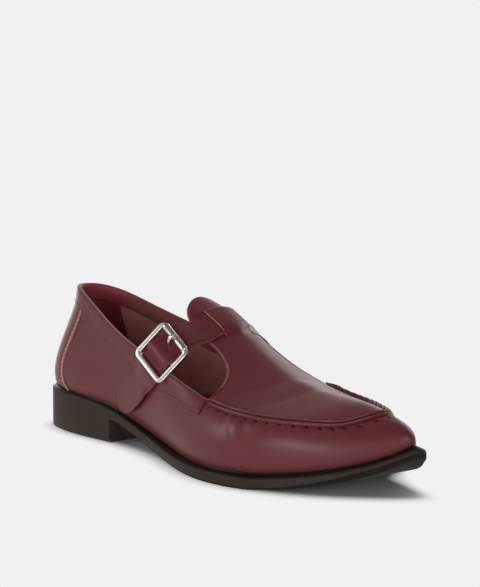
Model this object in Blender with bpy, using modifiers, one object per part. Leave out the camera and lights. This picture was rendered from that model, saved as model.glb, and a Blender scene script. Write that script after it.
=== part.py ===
"""Mary jane shoe for the right foot: T-bar loafer with a threaded strap and a roller buckle.

Sizes are millimetres, measured from the back of the heel: x runs to the toe, y to the medial
side (the buckle is on the lateral side, at -y) and z up from the floor. shoe_to_world turns
them into metres about the middle of the sole.
"""
from collections import namedtuple
import math

import bmesh
import bpy
from mathutils import Matrix, Vector
import numpy as np

# ---------------------------------------------------------------- driving sizes, millimetres
SOLE_EDGE = 5.2            # height of the sole's side wall
HEEL_BREAST = 77.0         # where the heel block ends
BREAST_SAG = 2.5           # how far the breast is hollowed towards the heel
GAP = 0.3                  # clearance between neighbouring pieces
LEATHER = 1.8              # wall of the upper
INSOLE = 2.0
STRAP_WIDTH = 18.0
STRAP = 1.5                # thickness of the strap
STRAP_TIP = 12.0           # length of the strap's rounded end
STRAP_X = 138.7            # where the strap crosses the crest of the instep
STRAP_BOW = 0.0123         # its line bends back by this times the square of y
MEDIAL_BOW = 0.022         # the same on the medial side
SLIT_Y = 8.0               # half the width of the bridge that the strap passes under
BUCKLE_LONG = 22.2         # outside, along the strap
BUCKLE_WIDE = 25.0         # outside, across the strap
BUCKLE_CORNER = 1.7        # bend of the ring's bar at its corners
BAR_RADIUS = 1.2
CENTRE_BAR_RADIUS = 0.9
ROLLER_RADIUS = 1.9
PRONG_RADIUS = 0.7

# ---------------------------------------------------------------- tables, heel to toe
# outline of the sole seen from above, with the width of its rim and the rise of the rim
Edge = namedtuple("Edge", "x lateral medial rim rise")
EDGE_ROWS = (
    Edge(0.0, 0.0, 0.0, 2.6, 1.0),
    Edge(5.4, -19.2, 18.8, 2.6, 1.0),
    Edge(21.6, -27.3, 27.2, 2.8, 1.0),
    Edge(45.9, -30.5, 30.5, 3.0, 0.9),
    Edge(72.9, -30.0, 30.2, 3.2, 0.9),
    Edge(102.6, -31.4, 27.6, 3.5, 0.8),
    Edge(135.0, -38.7, 32.4, 4.0, 0.8),
    Edge(167.4, -48.0, 42.0, 4.5, 0.9),
    Edge(194.4, -49.3, 45.2, 4.8, 1.2),
    Edge(221.4, -40.7, 39.6, 5.0, 1.6),
    Edge(243.0, -27.0, 27.6, 5.0, 1.7),
    Edge(260.0, -10.5, 14.1, 5.0, 1.8),
    Edge(268.0, 2.8, 2.8, 5.0, 1.8),
)
# upper edge of the side wall: the collar as far as x = 170, then the seam round the apron
Top = namedtuple("Top", "x lateral lateral_z medial medial_z")
TOP_ROWS = (
    Top(8.0, 1.0, 78.2, 1.0, 78.2),
    Top(11.5, -6.3, 78.0, 9.0, 77.6),
    Top(22.0, -12.5, 76.6, 15.8, 74.8),
    Top(43.0, -18.0, 70.0, 21.5, 68.0),
    Top(70.0, -23.9, 60.7, 27.3, 59.6),
    Top(101.0, -29.2, 51.7, 31.5, 52.4),
    Top(136.0, -34.2, 43.0, 35.4, 44.2),
    Top(170.0, -36.4, 34.8, 37.0, 35.2),
    Top(193.0, -37.0, 31.9, 35.2, 31.5),
    Top(214.0, -32.4, 30.6, 27.8, 31.1),
    Top(231.0, -22.6, 30.4, 18.4, 31.1),
    Top(241.5, -11.8, 31.9, 9.8, 32.6),
    Top(246.0, 1.0, 34.2, 1.0, 34.2),
)
APRON_ROW = 7              # the row of TOP_ROWS where collar and apron seam meet
# curve of the wall between sole and top: swell and rise bend it off the sole, reach and dip
# bend it over into the top
Wall = namedtuple("Wall", "swell rise reach dip")
WALL_ROWS = (
    Wall(4.4, 18.5, 1.0, 19.0),
    Wall(4.4, 18.5, 1.0, 19.0),
    Wall(4.4, 18.5, 1.0, 19.0),
    Wall(3.6, 17.0, 2.2, 17.0),
    Wall(3.5, 15.0, 2.5, 15.0),
    Wall(3.6, 13.0, 1.6, 13.0),
    Wall(4.2, 12.0, 2.6, 10.0),
    Wall(4.0, 11.0, 6.0, 5.0),
    Wall(3.0, 10.0, 7.5, 2.0),
    Wall(3.0, 9.5, 7.5, 1.2),
    Wall(2.6, 9.5, 4.5, 1.2),
    Wall(3.2, 12.5, -1.0, 1.4),
    Wall(3.3, 13.3, -2.2, 1.4),
)
# crest of the instep, from the end of the tongue to the tip of the apron
Crest = namedtuple("Crest", "x y z radius")
CREST_ROWS = (
    Crest(108.0, 0.5, 79.0, 15.0),
    Crest(125.0, 0.5, 73.6, 16.0),
    Crest(142.0, 0.5, 65.3, 17.0),
    Crest(160.0, 0.5, 55.2, 18.0),
    Crest(180.0, 0.5, 45.6, 16.0),
    Crest(200.0, 0.5, 40.2, 15.0),
    Crest(220.0, 0.8, 37.9, 18.0),
    Crest(236.0, 1.0, 36.6, 15.0),
    Crest(246.0, 1.0, 34.2, 8.0),
)
# half width of the tongue and of the T neck, out to the start of the apron seam
Neck = namedtuple("Neck", "x half")
NECK_ROWS = (
    Neck(115.6, 5.0),
    Neck(117.2, 8.6),
    Neck(120.0, 12.0),
    Neck(124.0, 14.4),
    Neck(130.0, 16.0),
    Neck(140.0, 16.5),
    Neck(150.0, 16.7),
    Neck(156.0, 17.5),
    Neck(160.0, 18.8),
    Neck(163.0, 20.6),
    Neck(166.0, 23.6),
    Neck(168.0, 27.0),
    Neck(169.3, 32.0),
)
TONGUE_END = 114.8
# underside of the sole in side view: heel seat, shank, flat tread and toe spring
Ground = namedtuple("Ground", "x z")
GROUND_ROWS = (
    Ground(0.0, 17.2),
    Ground(35.0, 16.1),
    Ground(63.5, 14.4),
    Ground(85.0, 10.6),
    Ground(108.0, 5.6),
    Ground(128.0, 2.5),
    Ground(148.5, 0.8),
    Ground(178.0, 0.0),
    Ground(205.0, 0.0),
    Ground(220.0, 1.3),
    Ground(237.6, 4.0),
    Ground(255.0, 9.1),
    Ground(268.0, 16.2),
)
# where the strap lies on the side walls: the middle of the strap, by length and height, and how
# far its own middle stands off the leather
Fold = namedtuple("Fold", "x z lift")
MEDIAL_FOLDS = (
    Fold(107.2, 30.6, 1.2),
    Fold(110.2, 34.8, 1.2),
    Fold(113.2, 39.1, 1.3),
    Fold(116.2, 43.4, 2.1),
)
MEDIAL_EDGE = Vector((121.5, 36.3, 49.6))     # the strap leaves the medial collar here
LATERAL_FOLDS = (
    Fold(113.4, 38.5, 2.3),
    Fold(106.7, 33.9, 2.0),
    Fold(99.7, 29.8, 1.9),
    Fold(92.5, 26.1, 1.8),
    Fold(84.4, 21.9, 1.9),
)
NECK_TILT = 29.5           # slope of the crest under the strap, degrees
BUCKLE_TILT = 33.5         # slope of the buckle's cross bars
BUCKLE_LEAN = 28.0         # lean of the buckle towards the foot
BUCKLE_CENTRE = Vector((128.9, -33.5, 52.4))
CENTRE_BAR_AT = (-1.0, -1.0)   # centre bar from the buckle's middle: along, outwards
PRONG_HOLE_AT = 5.2            # hole in the strap, along from the buckle's middle
STRAP_BED = 1.0            # the neck is hollowed this much under the strap
MEDIAL_DROP = 1.6          # the hollow is this much deeper on the medial side of the bridge
STRAP_LIFT = GAP + 0.2 + STRAP / 2 - STRAP_BED   # the strap's own middle over the neck
BRIDGE_LIFT = STRAP_LIFT + STRAP / 2 + GAP + 0.1 + LEATHER   # top of the leather over the strap


# ---------------------------------------------------------------- curves through table rows
def closed_curve(knots, values):
    """Smooth closed curve through one value per knot; the last knot closes the loop."""
    knots = np.asarray(knots, float)
    values = np.asarray(values, float)
    count = len(values)
    step = np.diff(knots)
    slope = (np.roll(values, -1, 0) - values) / step[:, None]
    system = np.zeros((count, count))
    for i in range(count):
        system[i, i - 1] += step[i - 1]
        system[i, i] += 2 * (step[i - 1] + step[i])
        system[i, (i + 1) % count] += step[i]
    bend = np.linalg.solve(system, 6 * (slope - np.roll(slope, 1, 0)))

    def at(s):
        s = np.mod(np.asarray(s, float), knots[-1])
        i = np.clip(np.searchsorted(knots, s, side="right") - 1, 0, count - 1)
        j = (i + 1) % count
        a = ((knots[i + 1] - s) / step[i])[..., None]
        b = 1 - a
        scale = (step[i] ** 2 / 6)[..., None]
        return a * values[i] + b * values[j] + ((a**3 - a) * bend[i] + (b**3 - b) * bend[j]) * scale

    return at


def open_curve(knots, values):
    """Smooth curve through rows of values, straight at both ends."""
    knots = np.asarray(knots, float)
    values = np.asarray(values, float)
    step = np.diff(knots)
    slope = np.diff(values, axis=0) / step[:, None]
    system = np.eye(len(values))
    right = np.zeros_like(values)
    for i in range(1, len(values) - 1):
        system[i, i - 1:i + 2] = step[i - 1], 2 * (step[i - 1] + step[i]), step[i]
        right[i] = 6 * (slope[i] - slope[i - 1])
    bend = np.linalg.solve(system, right)

    def at(x):
        x = np.clip(np.asarray(x, float), knots[0], knots[-1])
        i = np.clip(np.searchsorted(knots, x, side="right") - 1, 0, len(step) - 1)
        a = ((knots[i + 1] - x) / step[i])[..., None]
        b = 1 - a
        scale = (step[i] ** 2 / 6)[..., None]
        return a * values[i] + b * values[i + 1] + ((a**3 - a) * bend[i] + (b**3 - b) * bend[i + 1]) * scale

    return at


def steady_curve(knots, values):
    """Curve through the rows that never overshoots them, so flat stretches stay flat."""
    knots = np.asarray(knots, float)
    values = np.asarray(values, float)
    step = np.diff(knots)
    slope = np.diff(values) / step
    tangent = np.zeros_like(values)
    for i in range(1, len(values) - 1):
        if slope[i - 1] * slope[i] > 0:
            before = 2 * step[i] + step[i - 1]
            after = step[i] + 2 * step[i - 1]
            tangent[i] = (before + after) / (before / slope[i - 1] + after / slope[i])
    tangent[-1] = slope[-1] + (slope[-1] - slope[-2]) * step[-1] / (step[-1] + step[-2])

    def at(x):
        x = np.clip(np.asarray(x, float), knots[0], knots[-1])
        i = np.clip(np.searchsorted(knots, x, side="right") - 1, 0, len(step) - 1)
        u = (x - knots[i]) / step[i]
        ends = (1 + 2 * u) * (1 - u) ** 2 * values[i] + u * u * (3 - 2 * u) * values[i + 1]
        bends = u * (1 - u) ** 2 * tangent[i] + u * u * (u - 1) * tangent[i + 1]
        return ends + bends * step[i]

    return at


def around(rows, lateral, medial):
    """Heel-to-toe rows as one closed list: out along the lateral side, back along the medial."""
    return [lateral(row) for row in rows] + [medial(row) for row in rows[-2:0:-1]]


EDGE_POINTS = np.array(around(EDGE_ROWS, lambda r: (r.x, r.lateral), lambda r: (r.x, r.medial)))
EDGE_STEPS = np.linalg.norm(np.roll(EDGE_POINTS, -1, 0) - EDGE_POINTS, axis=1)
KNOTS = np.concatenate([[0.0], np.cumsum(EDGE_STEPS)])
TOE_ROW = len(EDGE_ROWS) - 1

sole_edge = closed_curve(KNOTS, EDGE_POINTS)
rim = closed_curve(KNOTS, around(EDGE_ROWS, lambda r: (r.rim, r.rise), lambda r: (r.rim, r.rise)))
top_line = closed_curve(KNOTS, around(TOP_ROWS, lambda r: (r.x, r.lateral, r.lateral_z),
                                      lambda r: (r.x, r.medial, r.medial_z)))
wall_bend = closed_curve(KNOTS, around(WALL_ROWS, tuple, tuple))
crest_line = open_curve([r.x for r in CREST_ROWS], [(r.y, r.z, r.radius) for r in CREST_ROWS])
ground = steady_curve([r.x for r in GROUND_ROWS], [r.z for r in GROUND_ROWS])


def station(row, side):
    """Distance along the sole's outline of a table row, which may be fractional."""
    if side < 0:
        return np.interp(row, np.arange(TOE_ROW + 1), KNOTS[:TOE_ROW + 1])
    return np.interp(row, np.arange(TOE_ROW + 1), KNOTS[:TOE_ROW - 1:-1])


# ---------------------------------------------------------------- surfaces of the shoe
def sole_top(x):
    return ground(x) + SOLE_EDGE


def outward(s):
    """Level direction straight out from the sole's outline."""
    reach = 0.05
    along = sole_edge(np.asarray(s) + reach) - sole_edge(np.asarray(s) - reach)
    along = along / np.linalg.norm(along, axis=-1, keepdims=True)
    return np.stack([along[..., 1], -along[..., 0]], -1)


def seat(s, inwards=0.0):
    """Point of the raised seat that the upper stands on, inwards of the rim."""
    width, rise = rim(s)[..., 0:1], rim(s)[..., 1:2]
    plan = sole_edge(s) - outward(s) * (width + inwards)
    return np.concatenate([plan, sole_top(plan[..., 0:1]) + rise], -1)


def side_wall(s, t):
    """Outer face of the side wall: s along the outline, t from the sole (0) to the top (1)."""
    s, t = np.broadcast_arrays(np.asarray(s, float), np.asarray(t, float))
    foot = seat(s) + np.array([0.0, 0.0, GAP])
    top = top_line(s)
    out = np.concatenate([outward(s), np.zeros(s.shape + (1,))], -1)
    up = np.array([0.0, 0.0, 1.0])
    swell, rise, reach, dip = np.split(wall_bend(s), 4, axis=-1)
    low = foot + out * swell + up * rise
    high = top + out * reach - up * dip
    t = t[..., None]
    return (1 - t)**3 * foot + 3 * t * (1 - t)**2 * low + 3 * t**2 * (1 - t) * high + t**3 * top


SHOULDER = {side: top_line(station(np.linspace(0, TOE_ROW, 600), side)) for side in (-1, 1)}


def instep(x, y):
    """Height of the vamp, apron and tongue: a rounded crest that falls to the top line."""
    x, y = np.broadcast_arrays(np.asarray(x, float), np.asarray(y, float))
    crest_y, crest_z, radius = np.moveaxis(crest_line(x), -1, 0)
    edge = [np.stack([np.interp(x, SHOULDER[side][:, 0], SHOULDER[side][:, k]) for k in (1, 2)])
            for side in (-1, 1)]
    edge_y, edge_z = np.where(y < crest_y, edge[0], edge[1])
    half = np.abs(edge_y - crest_y) + 1e-6
    drop = np.maximum(crest_z - edge_z, 1e-6)
    radius = np.minimum(radius, 0.45 * half**2 / drop)
    steep = drop / np.sqrt(half**2 - 2 * drop * radius)
    away = np.abs(y - crest_y)
    return crest_z - steep * (np.sqrt(away**2 + (steep * radius)**2) - steep * radius)


def strap_line(y):
    """Length at which the middle of the strap crosses the neck, y from the crest."""
    return STRAP_X - np.where(np.asarray(y) > 0, MEDIAL_BOW, STRAP_BOW) * np.square(y)


def instep_normal(x, y):
    reach = 0.2
    slope_x = (instep(x + reach, y) - instep(x - reach, y)) / (2 * reach)
    slope_y = (instep(x, y + reach) - instep(x, y - reach)) / (2 * reach)
    return Vector((-slope_x, -slope_y, 1.0)).normalized()


# ---------------------------------------------------------------- Blender helpers
OUTLINE = sole_edge(np.linspace(0, KNOTS[-1], 721))
MIDDLE = Vector(((OUTLINE[:, 0].max() + OUTLINE[:, 0].min()) / 2,
                 (OUTLINE[:, 1].max() + OUTLINE[:, 1].min()) / 2, 0.0))
MM = 0.001


def shoe_to_world(point):
    return (Vector(point) - MIDDLE) * MM


def clear_scene():
    for thing in list(bpy.data.objects):
        bpy.data.objects.remove(thing)


def new_collection(name):
    collection = bpy.data.collections.new(name)
    bpy.context.scene.collection.children.link(collection)
    return collection


def new_material(name, colour, roughness, metallic=0.0):
    material = bpy.data.materials.new(name)
    material.use_nodes = True
    shader = material.node_tree.nodes["Principled BSDF"]
    shader.inputs["Base Color"].default_value = (*colour, 1.0)
    shader.inputs["Roughness"].default_value = roughness
    shader.inputs["Metallic"].default_value = metallic
    return material


def add_grid(mesh, rows):
    """Quads between neighbouring rows of points; points that coincide are welded later."""
    points = [[mesh.verts.new(shoe_to_world(point)) for point in row] for row in rows]
    for before, after in zip(points, points[1:]):
        for i in range(len(before) - 1):
            mesh.faces.new((before[i], before[i + 1], after[i + 1], after[i]))


def finish_mesh(name, mesh, material, collection, smooth_angle=35.0):
    """Weld the grids, drop the faces that have collapsed, and make the object."""
    weld = 2e-6
    bmesh.ops.remove_doubles(mesh, verts=mesh.verts, dist=weld)
    bmesh.ops.dissolve_degenerate(mesh, dist=weld, edges=mesh.edges)
    bmesh.ops.recalc_face_normals(mesh, faces=mesh.faces)
    data = bpy.data.meshes.new(name)
    mesh.to_mesh(data)
    mesh.free()
    data.shade_smooth()
    data.set_sharp_from_angle(angle=math.radians(smooth_angle))
    data.materials.append(material)
    thing = bpy.data.objects.new(name, data)
    collection.objects.link(thing)
    return thing


def curve_to_mesh(curve_object, name, material, collection):
    """Replace a bevelled curve by its welded mesh, in the same place."""
    bpy.context.view_layer.update()
    evaluated = curve_object.evaluated_get(bpy.context.evaluated_depsgraph_get())
    data = bpy.data.meshes.new_from_object(evaluated)
    mesh = bmesh.new()
    mesh.from_mesh(data)
    bmesh.ops.remove_doubles(mesh, verts=mesh.verts, dist=1e-6)
    bmesh.ops.recalc_face_normals(mesh, faces=mesh.faces)
    mesh.to_mesh(data)
    mesh.free()
    data.shade_smooth()
    data.materials.clear()
    data.materials.append(material)
    thing = bpy.data.objects.new(name, data)
    thing.matrix_world = curve_object.matrix_world.copy()
    collection.objects.link(thing)
    bpy.data.objects.remove(curve_object)
    return thing


def round_bar(name, points, radius, collection, cyclic=False):
    """Curve object with a round section through points given in the shoe's millimetres."""
    curve = bpy.data.curves.new(name, "CURVE")
    curve.dimensions = "3D"
    curve.bevel_depth = radius * MM
    curve.bevel_resolution = 2
    curve.use_fill_caps = not cyclic
    spline = curve.splines.new("POLY")
    spline.points.add(len(points) - 1)
    for knot, point in zip(spline.points, points):
        knot.co = (*shoe_to_world(point), 1.0)
    spline.use_cyclic_u = cyclic
    thing = bpy.data.objects.new(name, curve)
    collection.objects.link(thing)
    return thing


def boolean(target, other, operation):
    modifier = target.modifiers.new(operation.lower(), "BOOLEAN")
    modifier.operation = operation
    modifier.solver = "EXACT"
    modifier.object = other
    other.hide_render = True
    other.display_type = "WIRE"


# ---------------------------------------------------------------- sole and insole
def cross_rows(rows_of_sections):
    """Pairs of outline distances, lateral and medial, for each section from heel to toe."""
    return [(station(row, -1), station(row, 1)) for row in rows_of_sections]


def spread(first, last, count):
    """Points evenly spaced from first to last."""
    return [first + (last - first) * k / count for k in range(count + 1)]


def plate(mesh, sections, lower, upper):
    """Closed plate between two faces; lower and upper give a face's point at s."""
    low = [(lower(a), lower(b)) for a, b in sections]
    high = [(upper(a), upper(b)) for a, b in sections]
    add_grid(mesh, low)
    add_grid(mesh, high)
    for side in (0, 1):
        add_grid(mesh, [(below[side], above[side]) for below, above in zip(low, high)])


def make_insole(material, collection):
    sections = cross_rows(np.linspace(0, TOE_ROW, 37))
    inwards = LEATHER + 0.6

    def face(height):
        return lambda s: seat(s, inwards) + np.array([0.0, 0.0, height])

    mesh = bmesh.new()
    plate(mesh, sections, face(GAP), face(GAP + INSOLE))
    return finish_mesh("insole", mesh, material, collection)


def tread(lateral, medial, floor, sag=0.0, count=6):
    """Points across the underside from lateral to medial edge, bowed towards the heel by sag."""
    points = []
    for k, plan in enumerate(spread(lateral, medial, count)):
        bow = 1 - (2 * k / count - 1) ** 2
        x, y = plan[0] - sag * bow, plan[1]
        points.append((x, y, 0.0 if floor else float(ground(x))))
    return points


def make_sole(material, collection):
    """One moulded unit: rim, raised seat, shank, tread and the low block heel."""
    breast_row = np.interp(HEEL_BREAST, [r.x for r in EDGE_ROWS], np.arange(TOE_ROW + 1))
    heel = cross_rows(np.linspace(0, breast_row, 15))
    front = cross_rows(np.linspace(breast_row, TOE_ROW, 41))
    mesh = bmesh.new()

    def rim_point(s):
        x, y = sole_edge(s)
        return (x, y, float(sole_top(x)))

    def waist_point(s):
        x, y = sole_edge(s)
        return (x, y, float(ground(x)))

    whole = heel[:-1] + front
    add_grid(mesh, [spread(seat(a), seat(b), 2) for a, b in whole])
    for side in (0, 1):
        add_grid(mesh, [(rim_point(pair[side]), seat(pair[side])) for pair in whole])
        add_grid(mesh, [(waist_point(pair[side]), rim_point(pair[side])) for pair in whole])
        add_grid(mesh, [((*sole_edge(pair[side]), 0.0), waist_point(pair[side])) for pair in heel])
    heel_rows = [tread(sole_edge(a), sole_edge(b), True, 0.0) for a, b in heel[:-1]]
    breast = [sole_edge(s) for s in heel[-1]]
    heel_rows.append(tread(*breast, True, BREAST_SAG))
    shank_rows = [tread(*breast, False, BREAST_SAG)]
    shank_rows += [tread(sole_edge(a), sole_edge(b), False, 0.0) for a, b in front[1:]]
    add_grid(mesh, heel_rows)
    add_grid(mesh, shank_rows)
    add_grid(mesh, [heel_rows[-1], shank_rows[0]])
    return finish_mesh("sole", mesh, material, collection)


# ---------------------------------------------------------------- upper
def beside_strap(x, y):
    """1 across the strap's width where it crosses the neck, falling to 0 just past its edges."""
    half = STRAP_WIDTH / 2 * math.cos(math.radians(NECK_TILT)) + 1.7
    ramp = 3.1
    away = abs(x - float(strap_line(y)))
    return float(np.clip(1 - (away - half) / ramp, 0.0, 1.0))


def instep_row(lateral, medial, columns):
    """Points across the instep from lateral to medial, at shares of the way in columns."""
    return [np.array([x, y, float(instep(x, y))])
            for x, y in (lateral + (medial - lateral) * share for share in columns)]


def apron_row(lateral, medial, columns):
    """Row across the apron whose two ends lie exactly on the seam."""
    row = instep_row(lateral[:2], medial[:2], columns)
    closed = np.linalg.norm(lateral - medial) < 1e-6
    return [lateral] * len(row) if closed else [lateral, *row[1:-1], medial]


def make_upper(material, collection):
    """One hollow shell: side wall, apron, vamp, T neck and tongue, open wherever a foot shows."""
    mesh = bmesh.new()
    heights = np.linspace(0, 1, 10)
    collar = np.linspace(0, APRON_ROW, 27)
    seam = APRON_ROW + (TOE_ROW - APRON_ROW) * np.linspace(0, 1, 23) ** 0.9
    for side in (-1, 1):
        stations = station(np.concatenate([collar, seam[1:]]), side)
        add_grid(mesh, [side_wall(s, heights) for s in stations])

    # the apron, between the two sides of its seam
    half_columns = 8
    slit_share = 0.5 - SLIT_Y / (2 * NECK_ROWS[5].half)
    outer = np.linspace(0, slit_share, 4)
    inner = np.linspace(slit_share, 0.5, half_columns - 2)[1:]
    columns = np.concatenate([outer, inner, 1 - inner[-2::-1], 1 - outer[::-1]])
    apron = [apron_row(top_line(a), top_line(b), columns) for a, b in cross_rows(seam)]
    # tongue and neck, with the strap's slits along two of the columns
    half_width = open_curve([TONGUE_END, *(r.x for r in NECK_ROWS), TOP_ROWS[APRON_ROW].x],
                            [(0.0,), *((r.half,) for r in NECK_ROWS), (36.9,)])
    steps = np.concatenate([[TONGUE_END, 115.1], [r.x for r in NECK_ROWS[:4]],
                            np.linspace(STRAP_X - 12.8, STRAP_X + 12.8, 17), [152.5],
                            [r.x for r in NECK_ROWS[7:]], [169.8]])
    crest_y = CREST_ROWS[0].y
    first, last = len(outer) - 1, len(columns) - len(outer)
    under, over, beyond = [], [], []
    slit = 0.5
    for x in steps:
        half = float(half_width(x)[0])
        row = instep_row(np.array([x, crest_y - half]), np.array([x, crest_y + half]), columns)
        normals = [np.array(instep_normal(*point[:2])) for point in row]
        near = [beside_strap(*point[:2]) for point in row]
        middle = [point + normal * BRIDGE_LIFT * share
                  for point, normal, share in zip(row, normals, near)]
        bed = [point - normal * (STRAP_BED + (MEDIAL_DROP if point[1] > crest_y else 0.0)) * share
               for point, normal, share in zip(row, normals, near)]
        middle[first][1] += slit * near[first]
        middle[last][1] -= slit * near[last]
        under.append(bed[:first + 1])
        over.append(middle[first:last + 1])
        beyond.append(bed[last:])
    for part, span in ((under, slice(0, first + 1)), (over, slice(first, last + 1)),
                       (beyond, slice(last, None))):
        add_grid(mesh, part + [apron[0][span]])
    add_grid(mesh, apron)
    upper = finish_mesh("upper", mesh, material, collection, 60.0)
    shell = upper.modifiers.new("leather", "SOLIDIFY")
    shell.thickness = LEATHER * MM
    shell.offset = -1.0
    shell.use_even_offset = True
    return upper


# ---------------------------------------------------------------- buckle and strap
def buckle_axes():
    """Unit vectors along the strap, across it and outwards, at the buckle."""
    tilt, lean = math.radians(BUCKLE_TILT), math.radians(BUCKLE_LEAN)
    across = Vector((math.cos(tilt), 0.0, -math.sin(tilt)))
    climb = Vector((math.sin(tilt), 0.0, math.cos(tilt)))
    inwards = Vector((0.0, 1.0, 0.0))
    along = climb * math.cos(lean) + inwards * math.sin(lean)
    return along, across, climb * math.sin(lean) - inwards * math.cos(lean)


def on_buckle(along, across, out):
    axis_along, axis_across, axis_out = buckle_axes()
    return BUCKLE_CENTRE + axis_along * along + axis_across * across + axis_out * out


def on_wall(x, z, side, lift):
    """Point over the side wall at a length and height, and the wall's own outward direction."""
    row, height = 5.5, 0.5
    for _ in range(25):
        reached = side_wall(station(row, side), height)
        row += (x - reached[0]) / 34
        height += (z - reached[2]) / 40
    step = 0.02
    ahead = side_wall(station(row + step, side), height) - reached
    above = side_wall(station(row, side), height + step) - reached
    out = Vector(np.cross(ahead, above) * -side).normalized()
    if out.y * side < 0:
        out = -out
    return Vector(reached) + out * lift, out


def strap_path():
    """Middle of the strap and the direction across it, from its medial end to its tip."""
    tilt = math.radians(BUCKLE_TILT)
    across_wall = Vector((math.cos(tilt), 0.0, -math.sin(tilt)))
    rows = []

    def lie_on_wall(fold, side):
        point, out = on_wall(fold.x, fold.z, side, fold.lift)
        rows.append((point, (across_wall - out * across_wall.dot(out)).normalized()))

    for fold in MEDIAL_FOLDS:
        lie_on_wall(fold, 1)
    rows.append((MEDIAL_EDGE, across_wall))
    reach = STRAP_WIDTH / 2 * math.cos(tilt)
    for y, drop in ((16.5, 0.8), (12.0, 0.8), (7.5, 0.4), (0.5, 0.0), (-5.0, 0.0), (-11.0, 0.0),
                    (-16.0, 0.0)):
        x = float(strap_line(y))
        lift = STRAP_LIFT - drop * MEDIAL_DROP
        point = Vector((x, y, float(instep(x, y)))) + instep_normal(x, y) * lift
        fall = float(instep(x + reach, y) - instep(x - reach, y))
        rows.append((point, Vector((2 * reach, 0.0, fall)).normalized()))
    end = BUCKLE_LONG / 2 - BAR_RADIUS
    under_roller = -(ROLLER_RADIUS + GAP + STRAP / 2)
    under_bar = -(BAR_RADIUS + GAP + STRAP / 2)
    hump = CENTRE_BAR_AT[1] + CENTRE_BAR_RADIUS + GAP + STRAP / 2 + 0.1
    for along, back, out in ((end + 1.2, 0.0, under_roller - 0.25),
                             (end - 1.2, 0.0, under_roller + 0.05),
                             (PRONG_HOLE_AT - 0.6, 0.0, -1.1), (1.2, 0.0, hump - 0.15),
                             (CENTRE_BAR_AT[0] - 1.0, 0.0, hump), (-5.2, 0.1, -1.2),
                             (-end + 0.7, 0.7, under_bar - 0.1), (-end - 2.4, 1.8, under_bar - 1.3)):
        rows.append((on_buckle(along, -back, out), across_wall))
    for fold in LATERAL_FOLDS:
        lie_on_wall(fold, -1)
    return rows


def make_strap(material, collection, cutters):
    rows = strap_path()
    points = np.array([[*point, *across] for point, across in rows])
    lengths = np.concatenate([[0.0], np.cumsum(np.linalg.norm(np.diff(points[:, :3], axis=0), axis=1))])
    path = open_curve(lengths, points)
    total = lengths[-1]
    tip = STRAP_TIP
    body = np.linspace(0, total - tip, 58)
    cap = total - tip + tip * np.sin(np.linspace(0, math.pi / 2, 8)[1:])
    mesh = bmesh.new()
    top, bottom = [], []
    for distance in np.concatenate([body, cap]):
        centre, across = Vector(path(distance)[:3]), Vector(path(distance)[3:])
        along = Vector(path(distance + 0.3)[:3] - path(distance - 0.3)[:3]).normalized()
        across = (across - along * across.dot(along)).normalized()
        out = across.cross(along).normalized()
        into_tip = max(0.0, (distance - (total - tip)) / tip)
        half = max(STRAP_WIDTH / 2 * math.sqrt(max(0.0, 1 - into_tip**2)), 0.02)
        top.append([centre + across * (half * share) + out * (STRAP / 2) for share in (-1, 0, 1)])
        bottom.append([centre + across * (half * share) - out * (STRAP / 2) for share in (-1, 0, 1)])
    add_grid(mesh, top)
    add_grid(mesh, bottom)
    for side in (0, -1):
        add_grid(mesh, [(low[side], high[side]) for low, high in zip(bottom, top)])
    add_grid(mesh, [bottom[0], top[0]])
    add_grid(mesh, [bottom[-1], top[-1]])
    strap = finish_mesh("strap", mesh, material, collection)
    boolean(strap, hole_cutter(cutters), "DIFFERENCE")
    return strap


def hole_cutter(cutters):
    """Block that cuts the prong's hole through the strap."""
    along, across, out = buckle_axes()
    mesh = bmesh.new()
    bmesh.ops.create_cube(mesh, size=1.0)
    size = Matrix.Diagonal((4.4 * MM, 2.4 * MM, 8.0 * MM, 1.0))
    turn = Matrix((along, -across, out)).transposed().to_4x4()
    place = Matrix.Translation(shoe_to_world(on_buckle(PRONG_HOLE_AT, 0.0, -0.5)))
    bmesh.ops.transform(mesh, matrix=place @ turn @ size, verts=mesh.verts)
    data = bpy.data.meshes.new("prong_hole")
    mesh.to_mesh(data)
    mesh.free()
    cutter = bpy.data.objects.new("prong_hole", data)
    cutters.objects.link(cutter)
    return cutter


def make_buckle_frame(material, collection, cutters):
    """Rounded rectangle of round bar, with the centre bar under the strap."""
    half_long = BUCKLE_LONG / 2 - BAR_RADIUS
    half_wide = BUCKLE_WIDE / 2 - BAR_RADIUS
    points = []
    for turn, (sign_long, sign_wide) in enumerate(((1, 1), (-1, 1), (-1, -1), (1, -1))):
        for k in range(5):
            angle = math.radians(90 * turn + 90 * k / 4)
            along = sign_long * (half_long - BUCKLE_CORNER) + BUCKLE_CORNER * math.cos(angle)
            across = sign_wide * (half_wide - BUCKLE_CORNER) + BUCKLE_CORNER * math.sin(angle)
            points.append(on_buckle(along, across, 0.0))
    ring = round_bar("buckle_ring", points, BAR_RADIUS, cutters, cyclic=True)
    frame = curve_to_mesh(ring, "buckle_frame", material, collection)
    along, out = CENTRE_BAR_AT
    low = [on_buckle(along, side * (half_wide - 1.2), out) for side in (-1, 1)]
    ends = [on_buckle(along, side * half_wide, 0.0) for side in (-1, 1)]
    bar = round_bar("centre_bar", [ends[0], low[0], low[1], ends[1]], CENTRE_BAR_RADIUS, cutters)
    bar = curve_to_mesh(bar, "centre_bar", material, cutters)
    boolean(frame, bar, "UNION")
    return frame


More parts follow.
